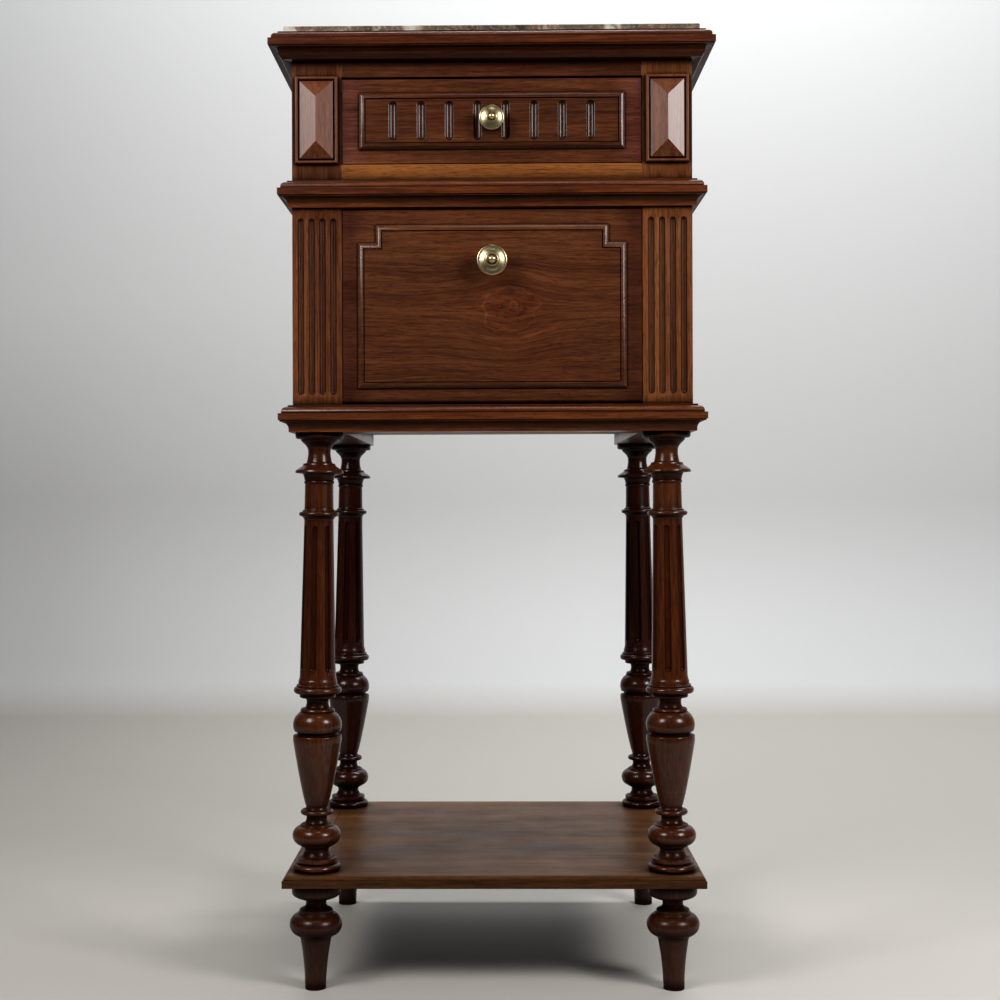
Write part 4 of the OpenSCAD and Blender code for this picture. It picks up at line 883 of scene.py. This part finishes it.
class CUPBOARD_OT_case(bpy.types.Operator):
    """Finish the posts, rails, panels, blocks and mouldings of the case"""

    bl_idname = "cupboard.case"
    bl_label = "Case"

    def execute(self, context):
        walnut_piece("front_post_left", "Z", (1.2, 1.18, 1.1), lift=0.05)
        walnut_piece("front_post_right", "Z", (1.45, 1.45, 1.25), lift=0.08)
        walnut_piece("back_post_left", "Z")
        walnut_piece("back_post_right", "Z")
        walnut_piece("side_panel_left", "Y", (0.95, 0.95, 0.95), wave=0.018)
        walnut_piece("side_panel_right", "Y", (0.95, 0.95, 0.95), wave=0.018)
        # The upper rail's darker tint is painted shade from the cornice above it
        walnut_piece("upper_rail", "X", (0.8, 0.72, 0.75))
        walnut_piece("drawer_rail", "X", (1.9, 2.0, 1.35), lift=0.11)
        # The right block's much lighter tint stands in for the lamps' reflection on its faces: painted
        # reflection
        for side, tint, gloss in (("left", (1.05, 0.95, 0.9), 0.40), ("right", (1.4, 1.35, 1.4), 0.33)):
            node = f"diamond_block_{side}"
            diamond_block(node, polished_wood(node, "Z", tint, lift=0.06, gloss=gloss, age=0.7))
        # A light tint with shade_from at 0.25 keeps the noses' upper faces light and darkens every face that
        # looks up less: painted light and painted shade
        for node, grain in (
            ("waist_moulding_front", "X"), ("waist_moulding_left", "Y"), ("waist_moulding_right", "Y"),
            ("base_frame_front", "X"), ("base_frame_left", "Y"), ("base_frame_right", "Y"),
        ):
            walnut_piece(node, grain, (1.95, 1.75, 1.3), gloss=0.26, shade_from=0.25)
        walnut_piece("door_stops", "Z", (0.8, 0.8, 0.8))
        return {"FINISHED"}


class CUPBOARD_OT_inner_boards(bpy.types.Operator):
    """Finish the unpolished boards inside and under the case"""

    bl_idname = "cupboard.inner_boards"
    bl_label = "Inner Boards"

    def execute(self, context):
        # Some boards take a darker tint than the others
        aged, no_tint = (0.75, 0.68, 0.6), (1, 1, 1)
        for node, grain, tint in (
            ("back_panel", "X", aged), ("base_frame_back", "X", aged), ("bottom_panel", "X", aged),
            ("dust_board", "X", no_tint), ("drawer_runners", "Y", no_tint), ("drawer_guides", "Y", no_tint),
            ("drawer_kickers", "Y", no_tint), ("drawer_stops", "X", no_tint),
        ):
            softened(node, raw_wood(node, grain, tint))
        return {"FINISHED"}


class CUPBOARD_OT_drawer(bpy.types.Operator):
    """Finish the drawer's front, raised field and box"""

    bl_idname = "cupboard.drawer"
    bl_label = "Drawer"

    def execute(self, context):
        # The drawer's ends turn lighter and bluer: painted reflection
        walnut_piece("drawer_front", "X", ends=(*REFLECTION_ENDS, (1.25, 1.25, 2.1)))
        low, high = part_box("drawer_field")
        middle = (low.z + high.z) / 2
        slots = [((i - (DRAWER_FLUTES - 1) / 2) * DRAWER_FLUTE_PITCH, middle) for i in range(DRAWER_FLUTES)]
        wood = polished_wood("drawer_field", "X", lift=0.01)
        raised_field("drawer_field", box_corners(low, high), (0.0, middle), slots, wood)
        for node in ("drawer_side_left", "drawer_side_right", "drawer_back", "drawer_bottom"):
            grain = "Y" if "side" in node else "X"
            softened(node, raw_wood(node, grain, (0.95, 0.92, 0.88)))
        return {"FINISHED"}


class CUPBOARD_OT_door(bpy.types.Operator):
    """Finish the fall-front door's frame and raised field"""

    bl_idname = "cupboard.door"
    bl_label = "Door"

    def execute(self, context):
        # The door frame's ends turn darker and purple: painted reflection
        veneer = polished_wood("door_rail_top", "X", lift=0.075, ends=(*REFLECTION_ENDS, (0.52, 0.42, 0.55)))
        veneer.name = "walnut_door_frame"
        for node in ("door_stile_left", "door_stile_right", "door_rail_top", "door_rail_bottom"):
            softened(node, veneer)
        walnut_piece("door_core", "X", (1.2, 1.15, 1.1))
        low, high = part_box("door_field")
        left, right, notch_z = low.x + DOOR_NOTCH, high.x - DOOR_NOTCH, high.z - DOOR_NOTCH
        corners = [
            (low.x, low.z), (high.x, low.z), (high.x, notch_z), (right, notch_z),
            (right, high.z), (left, high.z), (left, notch_z), (low.x, notch_z),
        ]
        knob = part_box("door_knob")
        # The knot's middle, the reach of its pull on the grain and the pull's strength
        knot = ((0.016, FACE_Y, 0.614), 0.035, 0.75)
        wood = polished_wood("door_field", "X", lift=0.01, knot=knot, wave=0.02)
        raised_field("door_field", corners, (0.0, (knob[0].z + knob[1].z) / 2), [], wood)
        return {"FINISHED"}


class CUPBOARD_OT_hardware(bpy.types.Operator):
    """Finish the knobs, screws, hinge pins and the ball catch"""

    bl_idname = "cupboard.hardware"
    bl_label = "Hardware"

    def execute(self, context):
        brass = old_brass("old_brass")
        steel = plain_steel("plain_steel")
        for node in ("drawer_knob", "door_knob"):
            turned_knob(node, FIELD_H, brass)
        for node in ("catch_barrel", "catch_strike"):
            softened(node, brass, arris=0.0001)
        for node in ("drawer_knob_screw", "door_knob_screw", "hinge_pins", "catch_ball", "catch_spring"):
            softened(node, steel, arris=0.0)
        return {"FINISHED"}


class CUPBOARD_OT_legs(bpy.types.Operator):
    """Finish the turned legs, the feet and the shelf between them"""

    bl_idname = "cupboard.legs"
    bl_label = "Legs and Shelf"

    def execute(self, context):
        for depth, end in ((-1, "front"), (1, "back")):
            for side, name in ((-1, "left"), (1, "right")):
                leg, foot = f"leg_{end}_{name}", f"foot_{end}_{name}"
                # The back legs take a much darker tint than the front ones: painted shade
                tint = (0.70, 0.53, 0.32) if depth < 0 else (0.38, 0.22, 0.17)
                turned_leg(leg, side, depth, polished_wood(leg, "Z", tint, coat=0.6))
                darker = tinted(tint, (0.62, 0.62, 0.62))
                turned_foot(foot, side, depth, polished_wood(foot, "Z", darker, coat=0.4, gloss=0.28))
        # The shelf's greyer tint stands in for the wall's reflection on its top, and shade_from darkens every
        # face but its top: painted reflection and painted shade
        walnut_piece("shelf", "X", (1.15, 1.65, 1.6), wave=0.012, coat=0.14, gloss=0.3, shade_from=0.95)
        return {"FINISHED"}


# ---------- stage ----------

def studio_surface(settings, turn_y):
    """Matt paper whose warm floor fades into the cool wall where the sheet turns up."""
    sheet = Sheet("studio_paper")
    x, y, z = (sheet.part(sheet.coordinates, axis) for axis in "XYZ")
    cloud = sheet.noise(scale=1.1, detail=2.0)
    place = sheet.maths("ADD", y, sheet.maths("MULTIPLY", cloud, 0.06))
    fade = sheet.spread(sheet.maths("ADD", place, z), turn_y + 0.10, turn_y + 0.30)
    colour = sheet.mix(fade, tuple(settings.floor), tuple(settings.wall))
    # Painted light makes the paper palest in front of the cupboard, and painted shade makes it dimmer low
    # down on the left
    front = sheet.spread(y, -0.6, 0.3, 0.75, 0.0)
    colour = sheet.mix(front, colour, (0.66, 0.64, 0.60))
    left = sheet.spread(x, -1.0, 0.2, 0.8, 0.0)
    low = sheet.spread(z, 0.1, 0.9, 1.0, 0.0)
    painted_left_shade = sheet.mix(sheet.maths("MULTIPLY", left, low), (1.0, 1.0, 1.0), (0.66, 0.65, 0.64))
    return sheet.finish(sheet.mix(1.0, colour, painted_left_shade, blend="MULTIPLY"), 0.6, Specular_IOR_Level=0.2)


def area_light(name, place, target, size, power, colour=(1, 1, 1)):
    data = bpy.data.lights.new(name, "AREA")
    data.shape = "RECTANGLE"
    data.size, data.size_y = size
    data.energy = power
    data.color = colour
    lamp = bpy.data.objects.new(name, data)
    lamp.location = place
    lamp.rotation_euler = (Vector(target) - Vector(place)).to_track_quat("-Z", "Y").to_euler()
    bpy.context.scene.collection.objects.link(lamp)


class CUPBOARD_OT_stage(bpy.types.Operator):
    """Set up the floor, the wall, the lamps and the camera"""

    bl_idname = "cupboard.stage"
    bl_label = "Studio"

    def execute(self, context):
        settings = context.scene.cupboard_stage
        self.place_camera(context, settings)
        self.build_room(settings)
        self.place_lamps(context)
        return {"FINISHED"}

    def place_camera(self, context, settings):
        data = bpy.data.cameras.new("photo_camera")
        data.lens = settings.lens
        data.sensor_width = 36.0
        data.shift_x, data.shift_y = settings.camera_shift
        camera = bpy.data.objects.new("photo_camera", data)
        context.scene.collection.objects.link(camera)
        level = Matrix.Rotation(math.radians(90), 4, "X") @ Matrix.Rotation(settings.camera_roll, 4, "Z")
        turned = Matrix.Rotation(settings.camera_turn, 4, "Z") @ level
        place = (settings.camera_side, FACE_Y - settings.camera_distance, settings.camera_height)
        camera.matrix_world = Matrix.Translation(place) @ turned
        context.scene.camera = camera

    def build_room(self, settings):
        """One sheet: floor, a wide cove and the wall, pulled out sideways from a bent line."""
        shape = bmesh.new()
        wall_y, cove_r, half, front_y, top_z = 2.05, 0.45, 4.0, -0.85, 3.4
        cove_y = wall_y - cove_r
        line = [(front_y, 0.0)] + arc(cove_y, cove_r, cove_r, -90, 0, 12) + [(wall_y, top_z)]
        corners = [shape.verts.new((-half, y, z)) for y, z in line]
        edges = [shape.edges.new(pair) for pair in zip(corners, corners[1:])]
        pulled = bmesh.ops.extrude_edge_only(shape, edges=edges)["geom"]
        bmesh.ops.translate(
            shape, verts=[g for g in pulled if isinstance(g, bmesh.types.BMVert)], vec=(2 * half, 0, 0)
        )
        bmesh.ops.recalc_face_normals(shape, faces=shape.faces)
        floor_face = min(shape.faces, key=lambda face: face.calc_center_median().z)
        if floor_face.normal.z < 0:
            bmesh.ops.reverse_faces(shape, faces=shape.faces)
        room = shaped_piece("studio_room", shape, 60.0)
        room.data.materials.append(studio_surface(settings, cove_y))

    def place_lamps(self, context):
        front = (0.0, FACE_Y, 0.55)
        area_light("left_lamp", (-0.78, -0.87, 1.12), front, (0.42, 0.46), 10.5, (1.0, 0.97, 0.95))
        area_light("right_lamp", (1.08, -1.04, 1.16), front, (0.46, 0.48), 19.0, (1.0, 0.97, 0.95))
        area_light("ceiling_light", (0.06, -0.62, 1.95), front, (0.30, 0.25), 1.5, (1.0, 0.93, 0.84))
        area_light("wall_wash", (0.42, 0.85, 2.8), (0.45, 1.95, 1.15), (2.8, 0.5), 70.0)
        area_light("floor_wash", (0.9, 1.1, 2.2), (0.3, 0.6, 0.0), (2.4, 0.5), 4.0)
        world = bpy.data.worlds.new("studio_world")
        world.use_nodes = True
        background = world.node_tree.nodes["Background"]
        background.inputs["Color"].default_value = (0.80, 0.81, 0.83, 1.0)
        background.inputs["Strength"].default_value = 0.03
        context.scene.world = world
        context.scene.view_settings.view_transform = "Standard"


class CUPBOARD_PT_panel(bpy.types.Panel):
    """Buttons that dress the cupboard, one for each group of pieces"""

    bl_idname = "CUPBOARD_PT_panel"
    bl_label = "Pot Cupboard"
    bl_space_type = "VIEW_3D"
    bl_region_type = "UI"
    bl_category = "Pot Cupboard"

    def draw(self, context):
        for group in SETTINGS:
            settings = getattr(context.scene, group)
            box = self.layout.box()
            for key in settings.__annotations__:
                box.prop(settings, key)
        for operator in OPERATORS:
            self.layout.operator(operator.bl_idname)


OPERATORS = (
    CUPBOARD_OT_stage, CUPBOARD_OT_top, CUPBOARD_OT_case, CUPBOARD_OT_inner_boards,
    CUPBOARD_OT_drawer, CUPBOARD_OT_door, CUPBOARD_OT_hardware, CUPBOARD_OT_legs,
)
SETTINGS = {
    "cupboard_wood": CupboardWoodSettings,
    "cupboard_metal": CupboardMetalSettings,
    "cupboard_marble": CupboardMarbleSettings,
    "cupboard_stage": CupboardStageSettings,
}


def register():
    for name, group in SETTINGS.items():
        bpy.utils.register_class(group)
        setattr(bpy.types.Scene, name, bpy.props.PointerProperty(type=group))
    for operator in OPERATORS:
        bpy.utils.register_class(operator)
    bpy.utils.register_class(CUPBOARD_PT_panel)


def unregister():
    bpy.utils.unregister_class(CUPBOARD_PT_panel)
    for operator in reversed(OPERATORS):
        bpy.utils.unregister_class(operator)
    for name, group in SETTINGS.items():
        delattr(bpy.types.Scene, name)
        bpy.utils.unregister_class(group)


def main():
    register()
    for operator in OPERATORS:
        group, action = operator.bl_idname.split(".")
        if getattr(getattr(bpy.ops, group), action)() != {"FINISHED"}:
            raise RuntimeError(f"{operator.bl_label} didn't finish")
    bpy.context.view_layer.update()


if __name__ == "__main__":
    main()
